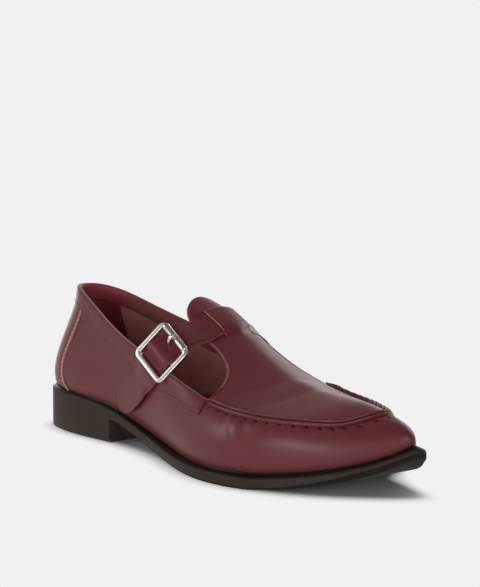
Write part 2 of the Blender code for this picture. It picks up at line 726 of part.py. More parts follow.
def make_roller(material, collection):
    """Sheet tube round the bar that the prong rests on."""
    along, across, out = buckle_axes()
    length = BUCKLE_WIDE - 2 * BAR_RADIUS - 2 * BUCKLE_CORNER - 0.4
    mesh = bmesh.new()
    bmesh.ops.create_cone(mesh, cap_ends=False, segments=20, radius1=ROLLER_RADIUS * MM,
                          radius2=ROLLER_RADIUS * MM, depth=length * MM)
    turn = Matrix((along, out, across)).transposed().to_4x4()
    place = Matrix.Translation(shoe_to_world(on_buckle(BUCKLE_LONG / 2 - BAR_RADIUS, 0.0, 0.0)))
    bmesh.ops.transform(mesh, matrix=place @ turn, verts=mesh.verts)
    roller = finish_mesh("buckle_roller", mesh, material, collection)
    sheet = roller.modifiers.new("sheet", "SOLIDIFY")
    sheet.thickness = (ROLLER_RADIUS - BAR_RADIUS - GAP) * MM
    sheet.offset = -1.0
    return roller


def make_prong(material, collection):
    """Bent pin from the centre bar, up through the strap's hole, onto the roller."""
    start = CENTRE_BAR_AT[0] + CENTRE_BAR_RADIUS + GAP + 0.1
    rest = ROLLER_RADIUS + GAP + PRONG_RADIUS
    bends = ((start, CENTRE_BAR_AT[1] - 0.6), (2.0, -1.9), (3.6, -1.7), (4.9, -0.6),
             (5.8, 0.9), (7.0, 2.1), (8.4, rest), (10.3, rest + 0.05), (11.2, rest - 0.35))
    points = [on_buckle(along, 0.0, out) for along, out in bends]
    pin = round_bar("prong_curve", points, PRONG_RADIUS, collection)
    return curve_to_mesh(pin, "buckle_prong", material, collection)


def main():
    clear_scene()
    parts = new_collection("mary_jane_shoe")
    cutters = new_collection("cutters")
    leather = new_material("burgundy_leather", (0.125, 0.031, 0.036), 0.42)
    strap_leather = new_material("strap_leather", (0.120, 0.030, 0.035), 0.42)
    rubber = new_material("sole_rubber", (0.036, 0.028, 0.022), 0.5)
    lining = new_material("insole_lining", (0.16, 0.075, 0.052), 0.7)
    nickel = new_material("polished_nickel", (0.78, 0.74, 0.69), 0.18, 1.0)
    make_sole(rubber, parts)
    make_insole(lining, parts)
    make_upper(leather, parts)
    make_strap(strap_leather, parts, cutters)
    make_buckle_frame(nickel, parts, cutters)
    make_roller(nickel, parts)
    make_prong(nickel, parts)


main()
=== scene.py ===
"""Looks of the mary jane shoe: burgundy T-bar loafer for the right foot, on a pale floor.

Sizes are millimetres, measured from the back of the heel: x runs to the toe, y to the medial
side and z up from the floor. The tables are the ones the solids are made from.
"""
from collections import namedtuple
import math

import bmesh
import bpy
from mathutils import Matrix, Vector
import numpy as np


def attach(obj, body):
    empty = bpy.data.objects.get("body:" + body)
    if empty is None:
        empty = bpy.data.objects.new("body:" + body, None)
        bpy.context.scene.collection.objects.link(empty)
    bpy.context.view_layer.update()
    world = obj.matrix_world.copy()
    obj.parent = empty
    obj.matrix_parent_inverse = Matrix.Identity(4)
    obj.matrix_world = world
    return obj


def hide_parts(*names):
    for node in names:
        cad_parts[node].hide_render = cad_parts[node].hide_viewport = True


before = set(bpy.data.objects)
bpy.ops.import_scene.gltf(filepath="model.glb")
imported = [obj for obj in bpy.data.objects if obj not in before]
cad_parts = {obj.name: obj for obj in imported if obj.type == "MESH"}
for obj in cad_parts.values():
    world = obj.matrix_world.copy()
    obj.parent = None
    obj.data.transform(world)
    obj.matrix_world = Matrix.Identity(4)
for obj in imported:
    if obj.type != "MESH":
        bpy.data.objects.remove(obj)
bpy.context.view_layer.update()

# ---------------------------------------------------------------- driving sizes, millimetres
SOLE_EDGE = 5.2            # height of the sole's side wall
HEEL_BREAST = 77.0         # where the heel block ends
BREAST_SAG = 2.5           # how far the breast is hollowed towards the heel
GAP = 0.3                  # clearance between neighbouring pieces
LEATHER = 1.8              # wall of the upper
INSOLE = 2.0
STRAP_WIDTH = 18.0
STRAP = 1.5                # thickness of the strap
STRAP_TIP = 12.0           # length of the strap's rounded end
STRAP_X = 138.7            # where the strap crosses the crest of the instep
STRAP_BOW = 0.0123         # its line bends back by this times the square of y
MEDIAL_BOW = 0.022         # the same on the medial side
SLIT_Y = 8.0               # half the width of the bridge that the strap passes under
BUCKLE_LONG = 22.2         # outside, along the strap
BUCKLE_WIDE = 25.0         # outside, across the strap
BUCKLE_CORNER = 1.7        # bend of the ring's bar at its corners
BAR_RADIUS = 1.2
CENTRE_BAR_RADIUS = 0.9
ROLLER_RADIUS = 1.9
PRONG_RADIUS = 0.7

# ---------------------------------------------------------------- tables, heel to toe
# outline of the sole seen from above, with the width of its rim and the rise of the rim
Edge = namedtuple("Edge", "x lateral medial rim rise")
EDGE_ROWS = (
    Edge(0.0, 0.0, 0.0, 2.6, 1.0),
    Edge(5.4, -19.2, 18.8, 2.6, 1.0),
    Edge(21.6, -27.3, 27.2, 2.8, 1.0),
    Edge(45.9, -30.5, 30.5, 3.0, 0.9),
    Edge(72.9, -30.0, 30.2, 3.2, 0.9),
    Edge(102.6, -31.4, 27.6, 3.5, 0.8),
    Edge(135.0, -38.7, 32.4, 4.0, 0.8),
    Edge(167.4, -48.0, 42.0, 4.5, 0.9),
    Edge(194.4, -49.3, 45.2, 4.8, 1.2),
    Edge(221.4, -40.7, 39.6, 5.0, 1.6),
    Edge(243.0, -27.0, 27.6, 5.0, 1.7),
    Edge(260.0, -10.5, 14.1, 5.0, 1.8),
    Edge(268.0, 2.8, 2.8, 5.0, 1.8),
)
# upper edge of the side wall: the collar as far as x = 170, then the seam round the apron
Top = namedtuple("Top", "x lateral lateral_z medial medial_z")
TOP_ROWS = (
    Top(8.0, 1.0, 78.2, 1.0, 78.2),
    Top(11.5, -6.3, 78.0, 9.0, 77.6),
    Top(22.0, -12.5, 76.6, 15.8, 74.8),
    Top(43.0, -18.0, 70.0, 21.5, 68.0),
    Top(70.0, -23.9, 60.7, 27.3, 59.6),
    Top(101.0, -29.2, 51.7, 31.5, 52.4),
    Top(136.0, -34.2, 43.0, 35.4, 44.2),
    Top(170.0, -36.4, 34.8, 37.0, 35.2),
    Top(193.0, -37.0, 31.9, 35.2, 31.5),
    Top(214.0, -32.4, 30.6, 27.8, 31.1),
    Top(231.0, -22.6, 30.4, 18.4, 31.1),
    Top(241.5, -11.8, 31.9, 9.8, 32.6),
    Top(246.0, 1.0, 34.2, 1.0, 34.2),
)
APRON_ROW = 7              # the row of TOP_ROWS where collar and apron seam meet
# curve of the wall between sole and top: swell and rise bend it off the sole, reach and dip
# bend it over into the top
Wall = namedtuple("Wall", "swell rise reach dip")
WALL_ROWS = (
    Wall(4.4, 18.5, 1.0, 19.0),
    Wall(4.4, 18.5, 1.0, 19.0),
    Wall(4.4, 18.5, 1.0, 19.0),
    Wall(3.6, 17.0, 2.2, 17.0),
    Wall(3.5, 15.0, 2.5, 15.0),
    Wall(3.6, 13.0, 1.6, 13.0),
    Wall(4.2, 12.0, 2.6, 10.0),
    Wall(4.0, 11.0, 6.0, 5.0),
    Wall(3.0, 10.0, 7.5, 2.0),
    Wall(3.0, 9.5, 7.5, 1.2),
    Wall(2.6, 9.5, 4.5, 1.2),
    Wall(3.2, 12.5, -1.0, 1.4),
    Wall(3.3, 13.3, -2.2, 1.4),
)
# crest of the instep, from the end of the tongue to the tip of the apron
Crest = namedtuple("Crest", "x y z radius")
CREST_ROWS = (
    Crest(108.0, 0.5, 79.0, 15.0),
    Crest(125.0, 0.5, 73.6, 16.0),
    Crest(142.0, 0.5, 65.3, 17.0),
    Crest(160.0, 0.5, 55.2, 18.0),
    Crest(180.0, 0.5, 45.6, 16.0),
    Crest(200.0, 0.5, 40.2, 15.0),
    Crest(220.0, 0.8, 37.9, 18.0),
    Crest(236.0, 1.0, 36.6, 15.0),
    Crest(246.0, 1.0, 34.2, 8.0),
)
# half width of the tongue and of the T neck, out to the start of the apron seam
Neck = namedtuple("Neck", "x half")
NECK_ROWS = (
    Neck(115.6, 5.0),
    Neck(117.2, 8.6),
    Neck(120.0, 12.0),
    Neck(124.0, 14.4),
    Neck(130.0, 16.0),
    Neck(140.0, 16.5),
    Neck(150.0, 16.7),
    Neck(156.0, 17.5),
    Neck(160.0, 18.8),
    Neck(163.0, 20.6),
    Neck(166.0, 23.6),
    Neck(168.0, 27.0),
    Neck(169.3, 32.0),
)
TONGUE_END = 114.8
# underside of the sole in side view: heel seat, shank, flat tread and toe spring
Ground = namedtuple("Ground", "x z")
GROUND_ROWS = (
    Ground(0.0, 17.2),
    Ground(35.0, 16.1),
    Ground(63.5, 14.4),
    Ground(85.0, 10.6),
    Ground(108.0, 5.6),
    Ground(128.0, 2.5),
    Ground(148.5, 0.8),
    Ground(178.0, 0.0),
    Ground(205.0, 0.0),
    Ground(220.0, 1.3),
    Ground(237.6, 4.0),
    Ground(255.0, 9.1),
    Ground(268.0, 16.2),
)
# where the strap lies on the side walls: the middle of the strap, by length and height, and how
# far its own middle stands off the leather
Fold = namedtuple("Fold", "x z lift")
MEDIAL_FOLDS = (
    Fold(107.2, 30.6, 1.2),
    Fold(110.2, 34.8, 1.2),
    Fold(113.2, 39.1, 1.3),
    Fold(116.2, 43.4, 2.1),
)
MEDIAL_EDGE = Vector((121.5, 36.3, 49.6))     # the strap leaves the medial collar here
LATERAL_FOLDS = (
    Fold(113.4, 38.5, 2.3),
    Fold(106.7, 33.9, 2.0),
    Fold(99.7, 29.8, 1.9),
    Fold(92.5, 26.1, 1.8),
    Fold(84.4, 21.9, 1.9),
)
BUCKLE_TILT = 33.5         # slope of the buckle's cross bars, degrees
BUCKLE_LEAN = 28.0         # lean of the buckle towards the foot
BUCKLE_CENTRE = Vector((128.9, -33.5, 52.4))
CENTRE_BAR_AT = (-1.0, -1.0)   # centre bar from the buckle's middle: along, outwards
PRONG_HOLE_AT = 5.2            # hole in the strap, along from the buckle's middle
STRAP_BED = 1.0            # the neck is hollowed this much under the strap
MEDIAL_DROP = 1.6          # the hollow is this much deeper on the medial side of the bridge
STRAP_LIFT = GAP + 0.2 + STRAP / 2 - STRAP_BED   # the strap's own middle over the neck


# ---------------------------------------------------------------- curves through table rows
def interval(knots, x, last):
    """Number of the stretch between knots that x lies in."""
    return np.clip(np.searchsorted(knots, x, side="right") - 1, 0, last)


def cubic(x, knots, values, bend, i, j):
    """Cubic over stretch i, which ends at row j, from the rows' values and bends."""
    step = knots[i + 1] - knots[i]
    a = ((knots[i + 1] - x) / step)[..., None]
    b = 1 - a
    sag = (a**3 - a) * bend[i] + (b**3 - b) * bend[j]
    return a * values[i] + b * values[j] + sag * (step**2 / 6)[..., None]


def closed_curve(knots, values):
    """Smooth closed curve through one value per knot; the last knot closes the loop."""
    knots, values = np.asarray(knots, float), np.asarray(values, float)
    count = len(values)
    step = np.diff(knots)
    slope = (np.roll(values, -1, 0) - values) / step[:, None]
    system = np.zeros((count, count))
    for i in range(count):
        system[i, i - 1] += step[i - 1]
        system[i, i] += 2 * (step[i - 1] + step[i])
        system[i, (i + 1) % count] += step[i]
    bend = np.linalg.solve(system, 6 * (slope - np.roll(slope, 1, 0)))

    def at(s):
        s = np.mod(np.asarray(s, float), knots[-1])
        i = interval(knots, s, count - 1)
        return cubic(s, knots, values, bend, i, (i + 1) % count)

    return at


def open_curve(knots, values):
    """Smooth curve through rows of values, straight at both ends."""
    knots, values = np.asarray(knots, float), np.asarray(values, float)
    step = np.diff(knots)
    slope = np.diff(values, axis=0) / step[:, None]
    system = np.eye(len(values))
    right = np.zeros_like(values)
    for i in range(1, len(values) - 1):
        system[i, i - 1:i + 2] = step[i - 1], 2 * (step[i - 1] + step[i]), step[i]
        right[i] = 6 * (slope[i] - slope[i - 1])
    bend = np.linalg.solve(system, right)

    def at(x):
        x = np.clip(np.asarray(x, float), knots[0], knots[-1])
        i = interval(knots, x, len(step) - 1)
        return cubic(x, knots, values, bend, i, i + 1)

    return at


def steady_curve(knots, values):
    """Curve through the rows that never overshoots them, so flat stretches stay flat."""
    knots, values = np.asarray(knots, float), np.asarray(values, float)
    step = np.diff(knots)
    slope = np.diff(values) / step
    tangent = np.zeros_like(values)
    for i in range(1, len(values) - 1):
        if slope[i - 1] * slope[i] > 0:
            before = 2 * step[i] + step[i - 1]
            after = step[i] + 2 * step[i - 1]
            tangent[i] = (before + after) / (before / slope[i - 1] + after / slope[i])
    tangent[-1] = slope[-1] + (slope[-1] - slope[-2]) * step[-1] / (step[-1] + step[-2])

    def at(x):
        x = np.clip(np.asarray(x, float), knots[0], knots[-1])
        i = interval(knots, x, len(step) - 1)
        u = (x - knots[i]) / step[i]
        ends = (1 + 2 * u) * (1 - u) ** 2 * values[i] + u * u * (3 - 2 * u) * values[i + 1]
        bends = u * (1 - u) ** 2 * tangent[i] + u * u * (u - 1) * tangent[i + 1]
        return ends + bends * step[i]

    return at


def around(rows, lateral, medial):
    """Heel-to-toe rows as one closed list: out along the lateral side, back along the medial."""
    return [lateral(row) for row in rows] + [medial(row) for row in rows[-2:0:-1]]


EDGE_POINTS = np.array(around(EDGE_ROWS, lambda r: (r.x, r.lateral), lambda r: (r.x, r.medial)))
EDGE_STEPS = np.linalg.norm(np.roll(EDGE_POINTS, -1, 0) - EDGE_POINTS, axis=1)
KNOTS = np.concatenate([[0.0], np.cumsum(EDGE_STEPS)])
TOE_ROW = len(EDGE_ROWS) - 1

sole_edge = closed_curve(KNOTS, EDGE_POINTS)
rim = closed_curve(KNOTS, around(EDGE_ROWS, lambda r: (r.rim, r.rise), lambda r: (r.rim, r.rise)))
top_line = closed_curve(KNOTS, around(TOP_ROWS, lambda r: (r.x, r.lateral, r.lateral_z),
                                      lambda r: (r.x, r.medial, r.medial_z)))
wall_bend = closed_curve(KNOTS, around(WALL_ROWS, tuple, tuple))
crest_line = open_curve([r.x for r in CREST_ROWS], [(r.y, r.z, r.radius) for r in CREST_ROWS])
ground = steady_curve([r.x for r in GROUND_ROWS], [r.z for r in GROUND_ROWS])


def station(row, side):
    """Distance along the sole's outline of a table row, which may be fractional."""
    if side < 0:
        return np.interp(row, np.arange(TOE_ROW + 1), KNOTS[:TOE_ROW + 1])
    return np.interp(row, np.arange(TOE_ROW + 1), KNOTS[:TOE_ROW - 1:-1])


# ---------------------------------------------------------------- surfaces of the shoe
def sole_top(x):
    return ground(x) + SOLE_EDGE


def outward(s):
    """Level direction straight out from the sole's outline."""
    reach = 0.05
    along = sole_edge(np.asarray(s) + reach) - sole_edge(np.asarray(s) - reach)
    along = along / np.linalg.norm(along, axis=-1, keepdims=True)
    return np.stack([along[..., 1], -along[..., 0]], -1)


def seat(s, inwards=0.0):
    """Point of the raised seat that the upper stands on, inwards of the rim."""
    width, rise = rim(s)[..., 0:1], rim(s)[..., 1:2]
    plan = sole_edge(s) - outward(s) * (width + inwards)
    return np.concatenate([plan, sole_top(plan[..., 0:1]) + rise], -1)


def side_wall(s, t):
    """Outer face of the side wall: s along the outline, t from the sole (0) to the top (1)."""
    s, t = np.broadcast_arrays(np.asarray(s, float), np.asarray(t, float))
    foot = seat(s) + np.array([0.0, 0.0, GAP])
    top = top_line(s)
    out = np.concatenate([outward(s), np.zeros(s.shape + (1,))], -1)
    up = np.array([0.0, 0.0, 1.0])
    swell, rise, reach, dip = np.split(wall_bend(s), 4, axis=-1)
    low = foot + out * swell + up * rise
    high = top + out * reach - up * dip
    t = t[..., None]
    return (1 - t)**3 * foot + 3 * t * (1 - t)**2 * low + 3 * t**2 * (1 - t) * high + t**3 * top


SHOULDER = {side: top_line(station(np.linspace(0, TOE_ROW, 600), side)) for side in (-1, 1)}


def instep(x, y):
    """Height of the vamp, apron and tongue: a rounded crest that falls to the top line."""
    x, y = np.broadcast_arrays(np.asarray(x, float), np.asarray(y, float))
    crest_y, crest_z, radius = np.moveaxis(crest_line(x), -1, 0)
    edge = [np.stack([np.interp(x, SHOULDER[side][:, 0], SHOULDER[side][:, k]) for k in (1, 2)])
            for side in (-1, 1)]
    edge_y, edge_z = np.where(y < crest_y, edge[0], edge[1])
    half = np.abs(edge_y - crest_y) + 1e-6
    drop = np.maximum(crest_z - edge_z, 1e-6)
    radius = np.minimum(radius, 0.45 * half**2 / drop)
    steep = drop / np.sqrt(half**2 - 2 * drop * radius)
    away = np.abs(y - crest_y)
    return crest_z - steep * (np.sqrt(away**2 + (steep * radius)**2) - steep * radius)


def strap_line(y):
    """Length at which the middle of the strap crosses the neck, y from the crest."""
    return STRAP_X - np.where(np.asarray(y) > 0, MEDIAL_BOW, STRAP_BOW) * np.square(y)


# ---------------------------------------------------------------- looks: sizes, millimetres
SKIN = 1.7                 # outer leather and lining together
HOLE_PITCH = 7.6           # spacing of the gathering stitches under the apron seam
HOLE_START = 191.2         # first gathering stitch, along the lateral outline
BAND_PROUD = 0.75          # the collar band stands this far off the wall
FACING_END = 43.0          # the red facing inside the collar is painted bright, a painted light, this far round; past it the inside is painted shade
HEEL_LINING = 37.0         # the heel lining ends this far round from the back of the heel
FINE_DEPTH = 8.0           # the side wall has its fine relief this far down
BRIDGE_RISE = 2.3          # the bridge stands this far over the neck
SEWN_DOWN = 7.7            # past this, along from the strap's middle, the slit is closed
OUTLINE = sole_edge(np.linspace(0, KNOTS[-1], 721))
MIDDLE = Vector(((OUTLINE[:, 0].max() + OUTLINE[:, 0].min()) / 2,
                 (OUTLINE[:, 1].max() + OUTLINE[:, 1].min()) / 2, 0.0))
MM = 0.001
PAPER = 0.878              # brightness of the floor
LOOP = KNOTS[-1]
CORNER = {-1: float(station(APRON_ROW, -1)), 1: float(station(APRON_ROW, 1))}
UP = np.array([0.0, 0.0, 1.0])


def unit(vectors):
    return vectors / np.maximum(np.linalg.norm(vectors, axis=-1, keepdims=True), 1e-9)


def smooth(x, low, high):
    """0 below low, 1 above high, and a soft step between them."""
    u = np.clip((np.asarray(x, float) - low) / (high - low), 0, 1)
    return u * u * (3 - 2 * u)


def bump(x, middle, width):
    """Rounded hill of height 1."""
    return np.exp(-((np.asarray(x, float) - middle) / width) ** 2)


def run_length(points):
    """Distance run along a line of points, from 0 at its start."""
    return np.concatenate([[0.0], np.cumsum(np.linalg.norm(np.diff(points, axis=0), axis=1))])


def circle(count):
    """Points round a unit circle."""
    angle = np.linspace(0, 2 * math.pi, count + 1)[:-1]
    return np.stack([np.cos(angle), np.sin(angle)], 1)


def creased(x, creases, lean_by):
    """Sum of folds, each (middle, width, height, lean); lean_by moves a fold along by its lean."""
    return sum(height * bump(x - lean * lean_by, middle, width)
               for middle, width, height, lean in creases)


def shoe_to_world(point):
    return (Vector(point) - MIDDLE) * MM


# ---------------------------------------------------------------- Blender helpers
class Shape:
    """Collects grids of points and turns them into one mesh object."""

    def __init__(self):
        self.points, self.faces, self.slots = [], [], []
        self.count = 0

    def grid(self, rows, slot=0, around=False, closed=False):
        """Quads over a grid; around joins each row's ends, closed joins its last row and first."""
        rows = np.asarray(rows, float)
        m, n = rows.shape[:2]
        index = self.count + np.arange(m * n).reshape(m, n)
        if around:
            index = np.concatenate([index, index[:, :1]], 1)
        if closed:
            index = np.concatenate([index, index[:1]], 0)
        quads = np.stack([index[:-1, :-1], index[:-1, 1:], index[1:, 1:], index[1:, :-1]], -1)
        slots = np.broadcast_to(slot, quads.shape[:2])
        self.points.append(rows.reshape(-1, 3))
        self.faces += quads.reshape(-1, 4).tolist()
        self.slots += slots.reshape(-1).tolist()
        self.count += m * n
        return index

    def cap(self, loop, slot=0):
        self.faces.append([int(i) for i in loop])
        self.slots.append(slot)

    def tube(self, rings, slot=0, closed=False):
        """Skin over a run of rings of points, with its two ends filled."""
        index = self.grid(rings, slot, around=True, closed=closed)
        if not closed:
            self.cap(index[0, :-1])
            self.cap(index[-1, :-1])

    def make(self, name, materials, record_slot, stands_for=(), weld=1e-6, sharp=40.0,
             inside=None):
        """One mesh object, welded; its faces point away from inside, where that is given."""
        data = bpy.data.meshes.new(name)
        points = (np.concatenate(self.points) - np.array(MIDDLE)) * MM
        data.from_pydata(points.tolist(), [], self.faces)
        data.polygons.foreach_set("material_index", self.slots)
        mesh = bmesh.new()
        mesh.from_mesh(data)
        bmesh.ops.remove_doubles(mesh, verts=mesh.verts, dist=weld)
        bmesh.ops.dissolve_degenerate(mesh, dist=weld, edges=mesh.edges)
        bmesh.ops.recalc_face_normals(mesh, faces=mesh.faces)
        if inside is not None:
            centre = shoe_to_world(inside)
            if sum((face.calc_center_median() - centre).dot(face.normal) * face.calc_area()
                   for face in mesh.faces) < 0:
                bmesh.ops.reverse_faces(mesh, faces=mesh.faces)
        mesh.to_mesh(data)
        mesh.free()
        data.shade_smooth()
        data.set_sharp_from_angle(angle=math.radians(sharp))
        for material in materials:
            data.materials.append(material)
        thing = bpy.data.objects.new(name, data)
        bpy.context.scene.collection.objects.link(thing)
        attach(thing, "root")
        if stands_for:
            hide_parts(*stands_for)


def sweep(shape, path, across, out, profile, slot=0, closed=False, scale=1.0):
    """Tube along path with one profile of (across, out) pairs; scale shrinks it point by point."""
    across, out = np.broadcast_to(across, path.shape), np.broadcast_to(out, path.shape)
    flat = np.asarray(profile, float) * np.broadcast_to(scale, len(path))[:, None, None]
    shape.tube(path[:, None] + across[:, None] * flat[..., :1] + out[:, None] * flat[..., 1:],
               slot, closed)


def edge_cord(shape, line, normal, radius):
    """Thin round edge along a line on the wall."""
    along = unit(np.gradient(line, axis=0))
    sweep(shape, line, unit(np.cross(along, normal)), normal, circle(8) * radius)


# shape of one thread: places along it, and there its thickness and how far it dips
THREAD_SHARES = np.array([0.0, 0.12, 0.35, 0.65, 0.88, 1.0])
THREAD_GIRTH = np.array([0.35, 0.85, 1.0, 1.0, 0.85, 0.35])
THREAD_SINK = np.array([-0.9, -0.25, 0.0, 0.0, -0.25, -0.9])


def stitch_run(shape, path, normals, length, gap, radius, lift=0.1, slant=0.0, slot=0):
    """Row of short threads lying along a path; slant turns each one across it."""
    steps = run_length(path)
    count = int((steps[-1] + gap) / (length + gap))
    if count < 1:
        return
    pitch = steps[-1] / count

    def at(values, s):
        return np.stack([np.interp(s, steps, values[:, k]) for k in range(3)], -1)

    for k in range(count):
        s = k * pitch + (pitch - length) / 2 + THREAD_SHARES * length
        line, normal = at(path, s), unit(at(normals, s))
        along = unit(line[-1] - line[0])
        side = unit(np.cross(along, normal[0]))
        line = line + side * ((THREAD_SHARES - 0.5) * length * slant)[:, None]
        line = line + normal * (lift + radius * THREAD_SINK)[:, None]
        across = unit(np.cross(np.broadcast_to(along, line.shape), normal))
        sweep(shape, line, across, normal, circle(6) * radius, slot, scale=THREAD_GIRTH)


# ---------------------------------------------------------------- materials
def shader_tree(name):
    material = bpy.data.materials.new(name)
    material.use_nodes = True
    tree = material.node_tree
    return material, tree, tree.nodes["Principled BSDF"]


def feed(tree, fed, **inputs):
    """Sets a node's inputs; each is a value, or the output of another node."""
    for key, value in inputs.items():
        socket = fed.inputs[key.replace("_", " ")]
        if isinstance(value, bpy.types.NodeSocket):
            tree.links.new(value, socket)
        else:
            socket.default_value = value


def node(tree, kind, **inputs):
    made = tree.nodes.new("ShaderNode" + kind)
    feed(tree, made, **inputs)
    return made


def mottled(tree, shader, colour, other, scale, share=0.5, detail=4.0):
    """Base colour that drifts between two colours over the surface."""
    where = node(tree, "TexCoord").outputs["Object"]
    noise = node(tree, "TexNoise", Vector=where, Scale=scale, Detail=detail, Roughness=0.55)
    ramp = node(tree, "ValToRGB", Fac=noise.outputs["Fac"])
    for stop, side, tone in zip(ramp.color_ramp.elements, (-0.5, 0.5), (colour, other)):
        stop.position = 0.5 + side * share
        stop.color = (*tone, 1.0)
    feed(tree, shader, Base_Color=ramp.outputs["Color"])
    return where


def vary_roughness(tree, shader, where, low, high, scale):
    noise = node(tree, "TexNoise", Vector=where, Scale=scale, Detail=3.0)
    span = node(tree, "MapRange", Value=noise.outputs["Fac"], To_Min=low, To_Max=high)
    feed(tree, shader, Roughness=span.outputs["Result"])


def add_bumps(tree, shader, where, layers):
    """Chain of bump nodes; each layer is (texture, scale, strength, depth in mm)."""
    chain = {}
    for kind, scale, strength, depth in layers:
        if kind == "cells":
            texture = node(tree, "TexVoronoi", Vector=where, Scale=scale, Randomness=1.0)
            height = texture.outputs["Distance"]
        else:
            texture = node(tree, "TexNoise", Vector=where, Scale=scale, Detail=5.0, Roughness=0.6)
            height = texture.outputs["Fac"]
        made = node(tree, "Bump", Strength=strength, Distance=depth * MM, Height=height, **chain)
        chain = {"Normal": made.outputs["Normal"]}
    feed(tree, shader, **chain)


def ramp_from(tree, value, low, high, start, end):
    """Grey that goes from start to end while value goes from low to high."""
    span = node(tree, "MapRange", Value=value, From_Min=low, From_Max=high,
                To_Min=start, To_Max=end)
    span.interpolation_type = "SMOOTHSTEP"
    return span.outputs["Result"]


def surface(name, colour, other, mottle, rough, bumps, **inputs):
    """Material: mottle is (scale, share, detail) of its colours, rough is (low, high, scale)."""
    material, tree, shader = shader_tree(name)
    where = mottled(tree, shader, colour, other, *mottle)
    vary_roughness(tree, shader, where, *rough)
    add_bumps(tree, shader, where, bumps)
    feed(tree, shader, **inputs)
    return material


def leather(name, colour, other, rough, coat=0.24, grain=0.22):
    return surface(name, colour, other, (38.0, 0.6), (rough - 0.05, rough + 0.07, 90.0),
                   (("cells", 1500.0, grain, 0.06), ("noise", 2600.0, grain * 0.8, 0.05),
                    ("noise", 120.0, 0.12, 0.25)),
                   Specular_IOR_Level=0.32, Coat_Weight=coat, Coat_Roughness=0.30)


def fabric(name, colour, other, rough=0.9, sheen=0.25):
    """Napped microfibre lining; thread and raw edges use it too."""
    return surface(name, colour, other, (160.0, 0.7, 6.0), (rough - 0.06, rough + 0.05, 400.0),
                   (("noise", 2400.0, 0.35, 0.12), ("noise", 500.0, 0.2, 0.2)),
                   Sheen_Weight=sheen, Sheen_Roughness=0.5, Specular_IOR_Level=0.2)


def rubber(name, colour, other, low, high):
    return surface(name, colour, other, (60.0, 0.7), (low, high, 220.0),
                   (("noise", 1900.0, 0.12, 0.05), ("noise", 240.0, 0.1, 0.12)),
                   Specular_IOR_Level=0.22)


def metal(name, colour, low, high):
    return surface(name, colour, tuple(c * 0.93 for c in colour), (300.0, 0.8),
                   (low, high, 700.0), (("noise", 900.0, 0.05, 0.05),), Metallic=1.0)


BURGUNDY = leather("burgundy_leather", (0.138, 0.020, 0.025), (0.118, 0.0155, 0.020), 0.43)
STRAP_LEATHER = leather("strap_leather", (0.135, 0.019, 0.024), (0.115, 0.015, 0.019), 0.44)
# pale leather for the seam's lips and the edges of strap, collar top and cut-outs: a painted
# highlight
LIP_PAINTED_HIGHLIGHT = leather("seam_lip_painted_highlight", (0.27, 0.080, 0.086), (0.22, 0.060, 0.066), 0.45)
# dark leather for the groove between the seam's lips and its stitches: painted shade
GROOVE_PAINTED_SHADE = fabric("seam_groove_painted_shade", (0.060, 0.010, 0.013), (0.042, 0.007, 0.009), 0.8, 0.0)
# inside of the collar band: painted light round the heel, and a painted shade copy past FACING_END
FACING_PAINTED_LIGHT = leather("collar_facing_painted_light", (0.30, 0.048, 0.058), (0.24, 0.036, 0.045),
                 0.5, 0.05, 0.15)
FACING_PAINTED_SHADE = fabric("collar_facing_painted_shade", (0.20, 0.060, 0.055), (0.15, 0.042, 0.038), 0.85, 0.1)
# pale leather for the vamp's cut edges, the ridge's inner face and the band's ends: a painted
# highlight
FOLD_PAINTED_HIGHLIGHT = leather("folded_edge_painted_highlight", (0.205, 0.067, 0.068), (0.165, 0.050, 0.052), 0.5, 0.1)
RAW_EDGE = fabric("raw_leather_edge", (0.40, 0.19, 0.17), (0.27, 0.11, 0.10), 0.85, 0.05)
LINING = fabric("brown_lining", (0.52, 0.215, 0.175), (0.35, 0.135, 0.108))


def shade_low(material, low, high, level):
    """Darkens a lining towards the bottom of the shoe, where little light reaches."""
    tree = material.node_tree
    shader = tree.nodes["Principled BSDF"]
    colour = shader.inputs["Base Color"].links[0].from_socket
    split = node(tree, "SeparateXYZ", Vector=node(tree, "TexCoord").outputs["Object"])
    scaled = node(tree, "VectorMath")
    scaled.operation = "SCALE"
    feed(tree, scaled, Vector=colour,
         Scale=ramp_from(tree, split.outputs["Z"], low, high, level, 1.0))
    feed(tree, shader, Base_Color=scaled.outputs["Vector"])


shade_low(LINING, low=0.0195, high=0.0240, level=0.14)
HEEL_RED = leather("heel_lining_leather", (0.21, 0.030, 0.040), (0.17, 0.022, 0.031), 0.5, 0.05, 0.15)
THREAD = fabric("burgundy_thread", (0.080, 0.014, 0.018), (0.055, 0.009, 0.012), 0.7, 0.1)
PALE_THREAD = fabric("pale_thread", (0.60, 0.34, 0.31), (0.48, 0.25, 0.22), 0.8, 0.1)
# near black for the gathering holes and the medial slit's cut face: painted shade
HOLE_PAINTED_SHADE = fabric("hole_painted_shade", (0.035, 0.006, 0.008), (0.025, 0.004, 0.006), 0.9, 0.0)
RUBBER = rubber("dark_sole_rubber", (0.036, 0.020, 0.011), (0.025, 0.014, 0.008), 0.44, 0.58)
# near black for the sole's seat, groove and rim by the upper: painted shade
RIM_PAINTED_SHADE = rubber("sole_rim_painted_shade", (0.006, 0.005, 0.004), (0.004, 0.003, 0.003), 0.34, 0.44)
# the underside, rougher and painted darker than the sole's rubber: painted shade
TREAD_PAINTED_SHADE = rubber("tread_painted_shade", (0.010, 0.008, 0.006), (0.007, 0.005, 0.004), 0.75, 0.85)
NICKEL = metal("polished_nickel", (0.95, 0.89, 0.84), 0.25, 0.33)


